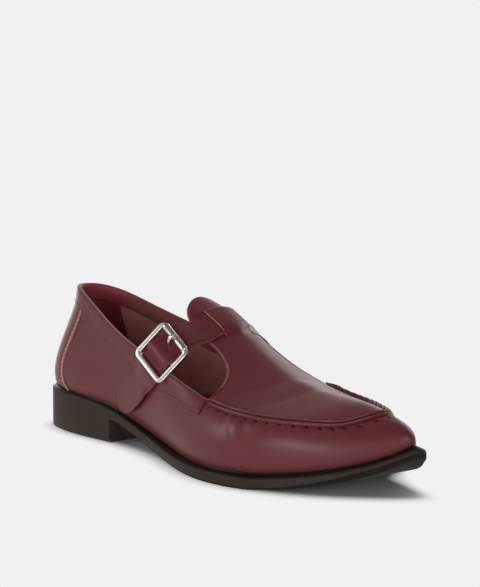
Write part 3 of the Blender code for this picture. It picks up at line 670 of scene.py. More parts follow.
# ---------------------------------------------------------------- side wall surface
def wall_normal(s, t):
    step_s, step_t = 0.25, 0.006
    along = side_wall(s + step_s, t) - side_wall(s - step_s, t)
    climb = side_wall(s, np.minimum(t + step_t, 1)) - side_wall(s, np.maximum(t - step_t, 0))
    normal = unit(np.cross(climb, along))
    out = np.concatenate([outward(s), np.zeros(np.shape(s) + (1,))], -1)
    out = np.broadcast_to(out, normal.shape) + UP * 0.3
    return normal * np.sign(np.sum(normal * out, -1, keepdims=True))


COLUMN_SHARES = np.linspace(0, 1, 90)


def wall_at(s, down, off):
    """Points and normals at distances down from the top edge, off along the wall's normal."""
    s = np.atleast_1d(np.asarray(s, float))
    down = np.broadcast_to(np.asarray(down, float), (len(s), np.shape(down)[-1]))
    column = side_wall(s[:, None], COLUMN_SHARES[None])
    steps = np.linalg.norm(np.diff(column, axis=1), axis=-1)
    below = np.concatenate([np.cumsum(steps[:, ::-1], 1)[:, ::-1], np.zeros((len(s), 1))], 1)
    shares = np.stack([np.interp(d, b[::-1], COLUMN_SHARES[::-1]) for d, b in zip(down, below)])
    normal = wall_normal(np.broadcast_to(s[:, None], shares.shape), shares)
    point = side_wall(np.broadcast_to(s[:, None], shares.shape), shares)
    return point + normal * np.broadcast_to(off, shares.shape)[..., None], normal


def wall_depth(s):
    """Length of the wall from its top edge down to the sole."""
    column = side_wall(np.asarray(s, float)[:, None], COLUMN_SHARES[None])
    return np.linalg.norm(np.diff(column, axis=1), axis=-1).sum(1)


HOLES = np.arange(HOLE_START, LOOP - HOLE_START + 1.0, HOLE_PITCH)


def hole_drop(s):
    """How far under the apron seam's edge the gathering stitches run."""
    middle = (CORNER[-1] + CORNER[1]) / 2
    return 3.3 + 1.9 * (1 - smooth(np.abs(np.asarray(s) - middle), 8, 24))


# soft folds where the shoe bends, each with its middle, width, height and lean
WALL_CREASES = ((204, 4.5, -0.42, 0.55), (212, 5.0, 0.22, 0.5), (221, 4.5, -0.28, 0.35),
                (398, 4.5, -0.42, -0.55), (389, 5.0, 0.22, -0.5), (380, 4.5, -0.25, -0.35))
VAMP_CREASES = ((186, 3.5, -0.28, -0.010), (194, 4.5, 0.18, -0.009), (203, 3.5, -0.20, -0.008))


def gather_phase(s):
    """Counts the gathering stitches along the outline: whole at a hole, half between two."""
    return (s - HOLE_START) / HOLE_PITCH


def wall_relief(s, down):
    """Gathers and pits under the apron seam, with soft creases where the shoe bends."""
    s, down = np.broadcast_arrays(s[:, None], down)
    toe = smooth(s, CORNER[-1] + 1, CORNER[-1] + 8) * smooth(-s, -CORNER[1] + 1, -CORNER[1] + 8)
    phase = gather_phase(s)
    nearest = (phase - np.round(phase)) * HOLE_PITCH
    drop = hole_drop(s)
    puff = 0.22 * (0.5 - 0.5 * np.cos(2 * math.pi * phase)) * bump(down, drop + 0.6, 3.2)
    pit = -0.85 * bump(nearest, 0, 1.2) * bump(down, drop, 0.85)
    gutter = -0.55 * bump(down, 2.0, 0.7)
    crease = creased(s, WALL_CREASES, down) * bump(down, 12, 9)
    wave = 0.10 * np.sin(s / 17.0 + down / 9.0) * smooth(down, 4, 14)
    return toe * (puff + pit + gutter) + crease + wave


def make_upper_wall():
    """Side wall of the upper from the heel round the toe, lined inside."""
    rear = np.linspace(CORNER[1] - LOOP, CORNER[-1], 260)
    toe = np.linspace(CORNER[-1], CORNER[1], 560)[1:]
    s = np.concatenate([rear, toe])
    depth = wall_depth(s)[:, None]
    fine = np.concatenate([np.arange(0.0, FINE_DEPTH, 0.36), [FINE_DEPTH]])
    lower = np.linspace(0, 1, 22)[1:]
    down = np.concatenate([np.broadcast_to(fine, (len(s), len(fine))),
                           FINE_DEPTH + (depth - FINE_DEPTH) * lower], 1)
    # the collar band covers the wall's edge, so the wall stops short of it
    in_band = (s <= CORNER[-1]) | (s >= CORNER[1])
    down = np.where(in_band[:, None] & (down < 1.2), 1.2 + down * 0.05, down)
    outer, _ = wall_at(s, down, wall_relief(s, down))
    inner_down = np.stack([np.linspace(d[0], d[-1], 14) for d in down])
    inner, _ = wall_at(s, inner_down, -SKIN)
    centres = (s[1:] + s[:-1]) / 2
    shape = Shape()
    shape.grid(outer)
    shape.grid(inner, np.where(np.abs(centres) < HEEL_LINING, 2, 1)[:, None])
    for end in (0, -1):
        shape.grid(np.stack([outer[:, end], inner[:, end]], 1))
    shape.make("upper_wall", (BURGUNDY, LINING, HEEL_RED), "leather", ("upper",), sharp=50)


# ---------------------------------------------------------------- vamp, neck and tongue
def neck_edge():
    """Half of the tongue and neck outline as (x, half width), evenly spaced."""
    rows = [(TONGUE_END, 0.0)] + [tuple(r) for r in NECK_ROWS] + [(TOP_ROWS[APRON_ROW].x, 36.9)]
    points = np.array([(rows[1][0], -rows[1][1])] + rows)
    steps = run_length(points)
    return open_curve(steps, points)(np.linspace(steps[1], steps[-1], 96))


def row_columns(half, slit):
    """Distances from the crest out to one edge, close together near the slit and the edge."""
    edge = np.array([0.0, 0.3, 0.6, 0.9, 1.2, 1.5, 1.8, 2.2, 2.8, 3.6]) * min(1.0, half / 9.0)
    middle = np.linspace(slit, half - edge[-1], 18)
    return np.concatenate([np.linspace(0, slit, 13), middle[1:-1], half - edge[::-1]])


SLIT_COLUMN = 12


def vamp_rows():
    """Plan of the vamp as rows from tongue to toe: crest first, then out to each edge."""
    seam = APRON_ROW + (TOE_ROW - APRON_ROW) * np.linspace(0, 1, 150)[:-1] ** 0.93
    crest_y = CREST_ROWS[0].y
    plans = [((x, crest_y - half), (x, crest_y + half)) for x, half in neck_edge()[1:-1]]
    plans += [[top_line(station(row, side))[:2] for side in (-1, 1)] for row in seam]
    sides = {-1: [], 1: []}
    for plan in plans:
        x = plan[0][0]
        forward = 9.0 * smooth(x, 150, 170) * (1 - smooth(x, 185, 243))
        mid_y = float(np.interp(x, [r.x for r in CREST_ROWS], [r.y for r in CREST_ROWS]))
        for side, edge in zip((-1, 1), plan):
            half = max(abs(edge[1] - mid_y), 0.05)
            away = row_columns(half, min(SLIT_Y, 0.55 * half))
            # rows lean forward to the crest; across the bridge they stay straight
            lean = forward * (1 - (away / half)**2)
            sides[side].append(np.stack([edge[0] + lean, mid_y + side * away, half - away], -1))
    return {side: np.array(rows) for side, rows in sides.items()}


def bridge_rise(x, y):
    """Height of the leather over the strap, between the two slits."""
    along = x - strap_line(y)
    front = 9.2 + 3.5 * (1 - np.abs(y) / SLIT_Y)
    return BRIDGE_RISE * smooth(along, -11.0, -7.8) * (1 - smooth(along, 5.0, front))


def strap_bed(x, y):
    """Depth of the hollow in the neck on which the strap lies, deeper on the medial side."""
    along = x - strap_line(y)
    beside = smooth(along, -12.0, -8.5) * (1 - smooth(along, 7.8, 11.0))
    return (STRAP_BED - 0.3 + MEDIAL_DROP * smooth(y, 4.0, 9.0)) * beside


def instep_normals(x, y, step=0.3):
    """Direction straight out of the instep, from its slopes over a short step."""
    slope_x = (instep(x + step, y) - instep(x - step, y)) / (2 * step)
    slope_y = (instep(x, y + step) - instep(x, y - step)) / (2 * step)
    return unit(np.stack([-slope_x, -slope_y, np.ones_like(slope_x)], -1))


def vamp_relief(x, edge, y):
    """Folded border of the cut-outs, the sunk line beside the apron seam, and soft creases."""
    border = smooth(x, 143, 150) * (1 - smooth(x, 170.2, 170.8))
    folded = 0.28 * (1 - smooth(edge, 0.9, 1.5)) - 0.30 * bump(edge, 1.75, 0.32)
    sunk = -0.35 * bump(edge, 1.9, 0.7) * smooth(x, 171, 174)
    creases = creased(x, VAMP_CREASES, y * y) * smooth(edge, 3, 12)
    saddle = 0.12 * np.sin(x / 11.0 + y / 13.0) * smooth(edge, 4, 12)
    return border * folded + sunk + creases + saddle * smooth(x, 150, 165)


def make_vamp():
    """Apron, neck and tongue in one piece, with the bridge that the strap passes under."""
    shape = Shape()
    toe_x, toe_y = top_line(station(TOE_ROW, -1))[:2]
    ends = ((TONGUE_END, CREST_ROWS[0].y, 0), (toe_x, toe_y, -1))
    for side, plan in vamp_rows().items():
        x, y, edge = np.moveaxis(plan, -1, 0)
        normal = instep_normals(x, y)
        base = np.stack([x, y, instep(x, y)], -1) + normal * vamp_relief(x, edge, y)[..., None]
        rise = bridge_rise(x, y)
        bridge = base + normal * rise[..., None]
        bed = base - normal * strap_bed(x, y)[..., None]
        split = rise[:, SLIT_COLUMN] > 0.12
        patches = (bridge[:, :SLIT_COLUMN + 1], bed[:, SLIT_COLUMN:])
        normals = (normal[:, :SLIT_COLUMN + 1], normal[:, SLIT_COLUMN:])
        # past the strap's two edges the bridge is sewn down, which closes the slit
        away = np.abs(x[:, SLIT_COLUMN] - strap_line(y[:, SLIT_COLUMN]))
        for i in np.nonzero((split[1:] | split[:-1]) & (away[1:] > SEWN_DOWN))[0]:
            shape.grid(np.stack([bridge[i:i + 2, SLIT_COLUMN], bed[i:i + 2, SLIT_COLUMN]], 1))
        for part, (face, out) in enumerate(zip(patches, normals)):
            back = face - out * (SKIN - 0.5 * (part == 0) * (rise[:, :1] > 0.02))[..., None]
            # the hem of the cut-outs gets the pale edge colour, a painted highlight
            hem = (edge[:-1, -len(face[0]) + 1:] < 0.75) & (x[:-1, -len(face[0]) + 1:] < 169)
            shape.grid(face, np.where(hem, 4, 0) if part else 0)
            shape.grid(back, 1)
            slit = 0 if part else -1
            # the slit's cut face is raw edge on the lateral side and painted shade on the medial side
            for i in np.nonzero(split[1:] | split[:-1])[0]:
                shape.grid(np.stack([face[i:i + 2, slit], back[i:i + 2, slit]], 1),
                           3 if side < 0 else 5)
            for tip_x, tip_y, row in ends:
                tip = np.array([tip_x, tip_y, instep(tip_x, tip_y)])
                under = tip - UP * SKIN
                shape.grid(np.stack([face[row], np.broadcast_to(tip, face[row].shape)]))
                shape.grid(np.stack([back[row], np.broadcast_to(under, face[row].shape)]), 1)
                if part:
                    shape.grid(np.array([[face[row, -1], back[row, -1]], [tip, under]]), 2)
        # the vamp's outer cut edge, like its two tips, gets the pale edge colour of a painted
        # highlight
        shape.grid(np.stack([bed[:, -1], bed[:, -1] - normal[:, -1] * SKIN], 1), 2)
    shape.make("vamp", (BURGUNDY, LINING, FOLD_PAINTED_HIGHLIGHT, RAW_EDGE, LIP_PAINTED_HIGHLIGHT, HOLE_PAINTED_SHADE), "leather",
               inside=(180, 0, 10), weld=1e-5, sharp=55)


# section of the double ridge: across it and outwards, and the material of each face
RIDGE_SECTION = ((-1.35, -0.7), (-1.32, 0.6), (-1.2, 1.15), (-0.95, 1.42), (-0.65, 1.4),
                 (-0.4, 1.05), (-0.2, 0.7), (0.08, 0.55), (0.35, 0.6), (0.65, 0.78), (0.95, 0.74),
                 (1.22, 0.4), (1.42, -0.15), (1.45, -1.0))
# the lip tops get the pale painted highlight, the groove between them painted shade, the inner face
# the pale edge colour of a painted highlight
RIDGE_SLOTS = np.array([3, 1, 1, 1, 0, 2, 2, 0, 0, 1, 0, 0, 0, 0])


def make_seam_ridge():
    """Raised double edge where the apron is sewn to the wall, from corner to corner."""
    s = np.linspace(CORNER[-1] - 0.5, CORNER[1] + 0.5, 620)
    points, normals = wall_at(s, np.array([1.0, 1.6]), 0.0)
    down = unit(points[:, 1] - points[:, 0])
    path, out = points[:, 0], normals[:, 0]
    end = smooth(s, s[0], s[0] + 5) * smooth(-s, -s[-1], -s[-1] + 8)
    least = np.where(s < 300, 0.5, 0.35)      # how far the ridge shrinks at its two ends
    path = path + UP * 0.6 * smooth(s, s[-1] - 20, s[-1])[:, None]
    path = path + out * (0.5 * smooth(s, 262, 300) * (1 - 0.3 * smooth(s, 320, 360)))[:, None]
    wavy = 1 + 0.05 * np.cos(2 * math.pi * gather_phase(s))
    slim = 1 - 0.22 * bump(s, 320, 18)
    shape = Shape()
    sweep(shape, path, down, out, RIDGE_SECTION, RIDGE_SLOTS[None, :],
          scale=(least + (1 - least) * end) * wavy * slim)
    inner = path - down * 1.36 + out * 0.35
    kept = s < s[-1] - 7
    stitch_run(shape, inner[kept], -down[kept], 1.5, 1.1, 0.15, lift=0.03, slant=0.9, slot=2)
    shape.make("apron_seam_ridge", (BURGUNDY, LIP_PAINTED_HIGHLIGHT, GROOVE_PAINTED_SHADE, FOLD_PAINTED_HIGHLIGHT), "leather", sharp=75)


def make_gathers():
    """Dark holes under the apron seam with the thread that pulls the gathers in."""
    holes, threads = Shape(), Shape()
    rim_points = circle(12) * (1.1, 0.7)
    for s in HOLES:
        drop = float(hole_drop(s))
        points, normals = wall_at(s + np.array([-0.4, 0.0, 0.4]), drop + np.array([-0.5, 0.0, 0.5]),
                                  -0.65)
        centre, normal = points[1, 1], normals[1, 1]
        along, fall = unit(points[2, 1] - points[0, 1]), unit(points[1, 2] - points[1, 0])
        plate = rim_points @ np.stack([along, fall])
        holes.tube(np.array([centre + normal * height + plate * share
                             for share, height in ((1.0, 0.0), (0.75, 0.1), (0.3, 0.16))]))
        climb = drop + np.array([0.1, -0.5, -1.2, -1.9])
        path, up = wall_at(np.array([s]), climb, np.array([-0.55, -0.2, -0.05, -0.35]))
        stitch_run(threads, path[0], up[0], 1.7, 0.3, 0.3, lift=0.05)
    holes.make("gathering_hole_painted_shade", (HOLE_PAINTED_SHADE,), "leather")
    threads.make("gathering_threads", (THREAD,), "leather")


# ---------------------------------------------------------------- overlays
def band_width(s):
    """Width of the collar band, by distance from the back of the heel."""
    return np.interp(np.abs(s), [0, 45, 66, 92, 116, 144, 168, 186],
                     [9.0, 9.3, 9.8, 10.4, 11.2, 10.8, 9.0, 8.4])


# section of the band as (place, off the wall): on the outside as a share of its width, over the
# edge in mm, and down the inside as a share again
BAND_OUTSIDE = ((1.0, -0.02), (1.0, 0.35), (0.985, 0.62), (0.955, BAND_PROUD), (0.8, BAND_PROUD),
                (0.6, BAND_PROUD + 0.08), (0.4, BAND_PROUD + 0.1), (0.25, BAND_PROUD + 0.05),
                (0.14, BAND_PROUD - 0.05))
BAND_OVER = ((0.75, 0.62), (0.35, 0.35), (0.08, -0.15), (0.0, -0.8), (0.1, -1.45), (0.45, -1.95),
             (1.0, -2.2))
BAND_INSIDE = ((0.5, -2.25), (0.93, -2.25), (0.985, -2.15), (1.0, -1.8), (1.0, -1.2))
BAND_SEAM = 1.1            # the band is sewn down this far above its lower edge


def make_collar_band():
    """Band folded over the collar edge, from one cut-out round the heel to the other."""
    s = np.linspace(CORNER[1] - LOOP - 0.3, CORNER[-1] + 0.3, 420)
    width = band_width(s)[:, None]
    rows = [(width * share, off) for share, off in BAND_OUTSIDE]
    rows += [(np.full_like(width, down), off) for down, off in BAND_OVER]
    rows += [(width * share, off) for share, off in BAND_INSIDE]
    rings = np.concatenate([wall_at(s, down, off)[0] for down, off in rows], 1)
    slots = np.zeros(rings.shape[:2], int)[:-1]
    first = len(BAND_OUTSIDE)
    # the fold over the collar's top edge gets the pale painted highlight
    slots[:, first + 1:first + 3] = 1
    # inside, the band is painted light round the heel and painted shade past FACING_END
    slots[:, first + 4:] = np.where(np.abs(s[:-1]) < FACING_END, 2, 3)[:, None]
    band, seam, cut_edge, ends = Shape(), Shape(), Shape(), Shape()
    band.tube(rings, slots)
    band.make("collar_band", (BURGUNDY, LIP_PAINTED_HIGHLIGHT, FACING_PAINTED_LIGHT, FACING_PAINTED_SHADE), "leather", sharp=60)
    line, normal = wall_at(s, width - BAND_SEAM, BAND_PROUD)
    stitch_run(seam, line[:, 0], normal[:, 0], 2.3, 0.9, 0.2, lift=0.02)
    end = CORNER[-1] - 1.0
    line, normal = wall_at(end, np.linspace(0.8, float(band_width(end)) - BAND_SEAM, 14),
                           BAND_PROUD)
    stitch_run(seam, line[0], normal[0], 2.1, 0.9, 0.2, lift=0.02)
    seam.make("collar_stitching", (THREAD,), "leather")
    line, normal = wall_at(s, width + 0.12, 0.14)
    edge_cord(cut_edge, line[:, 0], normal[:, 0], 0.24)
    cut_edge.make("collar_band_cut_edge", (THREAD,), "leather")
    # pale cords along the band's two cut ends: a painted highlight
    for end in (CORNER[-1] - 0.1, CORNER[1] - LOOP + 0.1):
        line, normal = wall_at(end, np.linspace(0.3, float(band_width(end)) - 0.1, 16),
                               BAND_PROUD * 0.7)
        edge_cord(ends, line[0], normal[0], 0.3)
    ends.make("collar_band_ends", (FOLD_PAINTED_HIGHLIGHT,), "leather")


def backstay_half(down):
    """Half the backstay's width round the heel, by distance down from the collar."""
    return np.interp(down, [9, 11.4, 18.3, 22.5, 27.2, 35.7, 41, 45.3, 48, 50.4, 52, 54, 57],
                     [50.6, 50.2, 48.6, 47.5, 46.2, 43.8, 42.6, 42.6, 43.1, 44.4, 46.2, 49.2, 54])


def make_backstay():
    """Heel counter piece round the back, with raw, overcast edges."""
    down = np.linspace(8.6, float(wall_depth(np.array([40.0]))[0]) - 0.3, 60)
    edge = np.array([0.0, 0.0, 0.2, 0.7, 1.5, 2.2, 2.6, 3.4])
    proud = np.array([-0.05, 0.45, 0.70, 0.78, 0.72, 0.55, 0.58, 0.66])
    middle = np.linspace(-1, 1, 38)[1:-1]
    off = np.concatenate([proud, np.full(len(middle), proud[-1]), proud[::-1]])
    rings, lines = [], {-1: [], 1: []}
    for d, half in zip(down, backstay_half(down)):
        s = np.concatenate([-half + edge, middle * (half - edge[-1]), half - edge[::-1]])
        depth = np.minimum(d, wall_depth(s) - 0.15)
        rings.append(wall_at(s, depth[:, None], off[:, None])[0][:, 0])
        for side, line in lines.items():
            point, normal = wall_at(side * (half - 1.1), [d], 0.72)
            line.append((point[0, 0], normal[0, 0]))
    raw = len(edge) - 3
    slots = np.zeros(len(off) - 1, int)
    slots[:raw] = slots[-raw:] = 1
    shape, threads = Shape(), Shape()
    shape.grid(np.array(rings), slots[None, :])
    shape.make("backstay", (BURGUNDY, RAW_EDGE), "leather", sharp=60, inside=(40, 0, 50))
    for side, line in lines.items():
        points, normals = np.moveaxis(np.array(line), 1, 0)
        stitch_run(threads, points, normals, 1.9, 0.5, 0.3, lift=0.05, slant=1.1 * side)
    threads.make("backstay_overcast", (PALE_THREAD,), "leather")


# ---------------------------------------------------------------- strap and buckle
def buckle_axes():
    """Unit vectors along the strap, across it and outwards, at the buckle."""
    tilt, lean = math.radians(BUCKLE_TILT), math.radians(BUCKLE_LEAN)
    across = Vector((math.cos(tilt), 0.0, -math.sin(tilt)))
    climb = Vector((math.sin(tilt), 0.0, math.cos(tilt)))
    inwards = Vector((0.0, 1.0, 0.0))
    along = climb * math.cos(lean) + inwards * math.sin(lean)
    return along, across, climb * math.sin(lean) - inwards * math.cos(lean)


def on_buckle(along, across, out):
    axis_along, axis_across, axis_out = buckle_axes()
    return BUCKLE_CENTRE + axis_along * along + axis_across * across + axis_out * out


def on_wall(x, z, side, lift):
    """Point over the side wall at a length and height, and the wall's own outward direction."""
    row, height = 5.5, 0.5
    for _ in range(25):
        reached = side_wall(station(row, side), height)
        row += (x - reached[0]) / 34
        height += (z - reached[2]) / 40
    step = 0.02
    ahead = side_wall(station(row + step, side), height) - reached
    above = side_wall(station(row, side), height + step) - reached
    out = Vector(np.cross(ahead, above) * -side).normalized()
    if out.y * side < 0:
        out = -out
    return Vector(reached) + out * lift, out


def strap_path():
    """Middle of the strap and the direction across it, from its medial end to its tip."""
    tilt = math.radians(BUCKLE_TILT)
    across_wall = Vector((math.cos(tilt), 0.0, -math.sin(tilt)))
    rows = []

    def lie_on_wall(fold, side):
        point, out = on_wall(fold.x, fold.z, side, fold.lift)
        rows.append((point, (across_wall - out * across_wall.dot(out)).normalized()))

    for fold in MEDIAL_FOLDS:
        lie_on_wall(fold, 1)
    rows.append((MEDIAL_EDGE, across_wall))
    reach = STRAP_WIDTH / 2 * math.cos(tilt)
    for y, drop in ((16.5, 0.8), (12.0, 0.8), (7.5, 0.4), (0.5, 0.0), (-5.0, 0.0), (-11.0, 0.0),
                    (-16.0, 0.0)):
        x = float(strap_line(y))
        lift = STRAP_LIFT - drop * MEDIAL_DROP
        point = Vector((x, y, float(instep(x, y)))) + Vector(instep_normals(x, y, 0.2)) * lift
        fall = float(instep(x + reach, y) - instep(x - reach, y))
        rows.append((point, Vector((2 * reach, 0.0, fall)).normalized()))
    end = BUCKLE_LONG / 2 - BAR_RADIUS
    under_roller = -(ROLLER_RADIUS + GAP + STRAP / 2)
    under_bar = -(BAR_RADIUS + GAP + STRAP / 2)
    hump = CENTRE_BAR_AT[1] + CENTRE_BAR_RADIUS + GAP + STRAP / 2 + 0.1
    for along, back, out in ((end + 1.2, 0.0, under_roller - 0.25),
                             (end - 1.2, 0.0, under_roller + 0.05),
                             (PRONG_HOLE_AT - 0.6, 0.0, -1.1), (1.2, 0.0, hump - 0.15),
                             (CENTRE_BAR_AT[0] - 1.0, 0.0, hump), (-5.2, 0.1, -1.2),
                             (-end + 0.7, 0.7, under_bar - 0.1), (-end - 2.4, 1.8, under_bar - 1.3)):
        rows.append((on_buckle(along, -back, out), across_wall))
    for fold in LATERAL_FOLDS:
        lie_on_wall(fold, -1)
    return rows


# height of the strap's upper face over its middle, by distance from its edge
STRAP_SECTION = ((0.0, 0.30), (0.12, 0.62), (0.35, 0.76), (0.9, 0.74), (1.2, 0.50), (1.45, 0.48),
                 (1.75, 0.70), (2.4, 0.88), (3.6, 0.94), (20.0, 0.96))


def strap_wrinkles(along, v):
    """Swelling and small wrinkles of the strap where it is pinched inside the buckle."""
    inside = smooth(-np.abs(along), -8.0, -4.5) * smooth(-np.abs(v), -7.5, -4.5)
    folds = 0.16 * np.sin(1.25 * along + 0.8 * v) + 0.12 * np.sin(0.7 * along - 1.5 * v + 0.8)
    return inside * (0.55 * bump(along, -1.0, 4.5) + folds)


STRAP_STITCH_INSET = 1.32


def make_strap():
    """Strap with turned edges, a stitched border and a rounded end."""
    points = np.array([[*point, *across] for point, across in strap_path()])
    lengths = run_length(points[:, :3])
    path = open_curve(lengths, points)
    total, radius = lengths[-1], STRAP_WIDTH / 2
    straight = total - STRAP_TIP
    turns = np.linspace(0, math.pi / 2, 26)[1:-1]
    distances = np.concatenate([np.linspace(0, 1.2, 5), np.arange(1.6, straight, 0.75),
                                [straight], straight + STRAP_TIP * np.sin(turns)])
    centre = path(distances)
    along = unit(path(distances + 0.2)[:, :3] - path(distances - 0.2)[:, :3])
    across = unit(centre[:, 3:] - along * np.sum(centre[:, 3:] * along, 1, keepdims=True))
    out = unit(np.cross(across, along))
    into_tip = np.clip((distances - straight) / STRAP_TIP, 0, 1)
    border = np.array([0.0, 0.12, 0.35, 0.6, 0.9, 1.2, 1.45, 1.75, 2.1, 2.6, 3.4])
    edge, height = np.array(STRAP_SECTION).T
    from_buckle = np.linalg.norm(centre[:, :3] - np.array(BUCKLE_CENTRE), axis=1)
    buckled = distances[np.argmin(from_buckle)]
    rings = []
    for i, half in enumerate(radius * np.sqrt(1 - into_tip**2)):
        inset = border * min(1.0, half / 5.0)
        middle = np.linspace(-half + inset[-1], half - inset[-1], 7)[1:-1]
        v = np.concatenate([-half + inset, middle, half - inset[::-1]])
        near = radius - (np.hypot(into_tip[i] * radius, v) if into_tip[i] > 0 else np.abs(v))
        near = np.minimum(near, distances[i] + 0.02)
        thick = np.interp(np.maximum(near, 0), edge, height)
        crown = 0.10 * (1 - (v / radius) ** 2) + strap_wrinkles(distances[i] - buckled, v)
        base = centre[i, :3] + across[i] * v[:, None]
        top = base + out[i] * (thick + crown * 0.6)[:, None]
        low = base - out[i] * np.minimum(thick, 0.74)[:, None]
        rings.append(np.concatenate([top, low[::-1]]))
    slots = np.zeros(len(rings[0]), int)
    tops = len(slots) // 2
    # the strap's edges get the pale painted highlight
    slots[:2] = slots[tops - 3:tops] = slots[-1] = 1
    shape, threads = Shape(), Shape()
    shape.tube(np.array(rings), slots[None, :])
    shape.make("strap_leather_piece", (STRAP_LEATHER, LIP_PAINTED_HIGHLIGHT), "strap_leather", ("strap",), sharp=70)
    keep = distances < straight + 0.01
    for side in (-1, 1):
        beside = across[keep] * (side * (radius - STRAP_STITCH_INSET))
        line = centre[keep, :3] + beside + out[keep] * 0.6
        stitch_run(threads, line, out[keep], 2.0, 0.8, 0.17, lift=0.02)
    arc = np.linspace(-math.pi / 2, math.pi / 2, 40)
    tip_rows = path(straight + (STRAP_TIP - STRAP_STITCH_INSET) * np.cos(arc))
    tip_along = unit(path(total - 0.2)[:3] - path(total - 3.0)[:3])
    tip_across = unit(tip_rows[:, 3:] - tip_along * (tip_rows[:, 3:] @ tip_along)[:, None])
    tip_out = unit(np.cross(tip_across, tip_along))
    beside = tip_across * ((radius - STRAP_STITCH_INSET) * np.sin(arc))[:, None]
    stitch_run(threads, tip_rows[:, :3] + beside + tip_out * 0.6, tip_out, 2.0, 0.8, 0.17,
               lift=0.02)
    threads.make("strap_stitching", (THREAD,), "strap_leather")


def frame_loop(corner, count=9):
    """Centre line of the buckle's frame in (along, across), with rounded corners."""
    half_long, half_wide = BUCKLE_LONG / 2 - BAR_RADIUS, BUCKLE_WIDE / 2 - BAR_RADIUS
    loop = []
    for turn, (sign_long, sign_wide) in enumerate(((1, 1), (-1, 1), (-1, -1), (1, -1))):
        for k in range(count):
            angle = math.radians(90 * turn + 90 * k / (count - 1))
            loop.append((sign_long * (half_long - corner) + corner * math.cos(angle),
                         sign_wide * (half_wide - corner) + corner * math.sin(angle)))
    dense = []
    for a, b in zip(np.array(loop), np.array(loop[1:] + loop[:1])):
        steps = max(1, int(math.dist(a, b) / 0.8))
        dense += [a + (b - a) * k / steps for k in range(steps)]
    return np.array(dense)


FRAME_CORNER = 2.3         # bend of the cast frame's centre line
FRAME_SECTION = (1.36, 0.98)   # half the width and thickness of its bars


def make_buckle():
    """Cast frame with flattened bars, a roller on the upper bar, and the prong."""
    axis_along, axis_across, axis_out = (np.array(a) for a in buckle_axes())
    middle = np.array(BUCKLE_CENTRE)
    loop = frame_loop(FRAME_CORNER)
    path = middle + axis_along * loop[:, :1] + axis_across * loop[:, 1:]
    tangent = np.roll(path, -1, 0) - np.roll(path, 1, 0)
    ring = circle(24)
    shape = Shape()
    sweep(shape, path, unit(np.cross(tangent, axis_out)), axis_out,
          np.sign(ring) * np.abs(ring) ** 0.42 * FRAME_SECTION, closed=True)
    half_wide = BUCKLE_WIDE / 2 - BAR_RADIUS
    bar_along, bar_out = CENTRE_BAR_AT
    bends = ((half_wide, 0.0), (half_wide - 0.6, -0.5), (half_wide - 1.4, bar_out))
    line = [(-w, h) for w, h in bends] + [(w, h) for w, h in bends[::-1]]
    bar = np.array([middle + axis_along * bar_along + axis_across * w + axis_out * h
                    for w, h in line])
    sweep(shape, bar, axis_along, axis_out, ring * CENTRE_BAR_RADIUS)
    shape.make("buckle_frame_cast", (NICKEL,), "nickel", ("buckle_frame",), sharp=60)

    shape = Shape()
    length = BUCKLE_WIDE - 2 * BAR_RADIUS - 2 * BUCKLE_CORNER - 0.4
    wide = np.array([-0.5, -0.5, -0.47, -0.44, -0.42, 0.42, 0.44, 0.47, 0.5, 0.5]) * length
    girth = np.array([1.4, 1.72, 1.9, 1.9, 1.84, 1.84, 1.9, 1.9, 1.72, 1.4])
    centre = middle + axis_along * (BUCKLE_LONG / 2 - BAR_RADIUS)
    sweep(shape, centre + axis_across * wide[:, None], axis_along, axis_out, ring, scale=girth)
    shape.make("buckle_roller_tube", (NICKEL,), "nickel", ("buckle_roller",), sharp=40)

    start = CENTRE_BAR_AT[0] + CENTRE_BAR_RADIUS + GAP + 0.1
    rest = ROLLER_RADIUS + GAP + PRONG_RADIUS
    bends = np.array([(start, CENTRE_BAR_AT[1] - 0.6), (2.0, -1.9), (3.6, -1.7), (4.9, -0.6),
                      (5.8, 0.9), (7.0, 2.1), (8.4, rest), (10.3, rest + 0.05), (11.2, rest - 0.35)])
    steps = run_length(bends)
    run = open_curve(steps, bends)(np.linspace(0, steps[-1], 44))
    line = middle + axis_along * run[:, :1] + axis_out * run[:, 1:]
    forward = unit(np.gradient(line, axis=0))
    share = np.linspace(0, 1, len(line))
    girth = (0.8 + 0.45 * smooth(share, 0.45, 0.8)) * np.where(share > 0.97, 0.6, 1.0)
    shape = Shape()
    sweep(shape, line, axis_across, unit(np.cross(forward, axis_across)),
          ring * (PRONG_RADIUS * 1.15, PRONG_RADIUS), scale=girth)
    shape.make("buckle_prong_pin", (NICKEL,), "nickel", ("buckle_prong",), sharp=50)


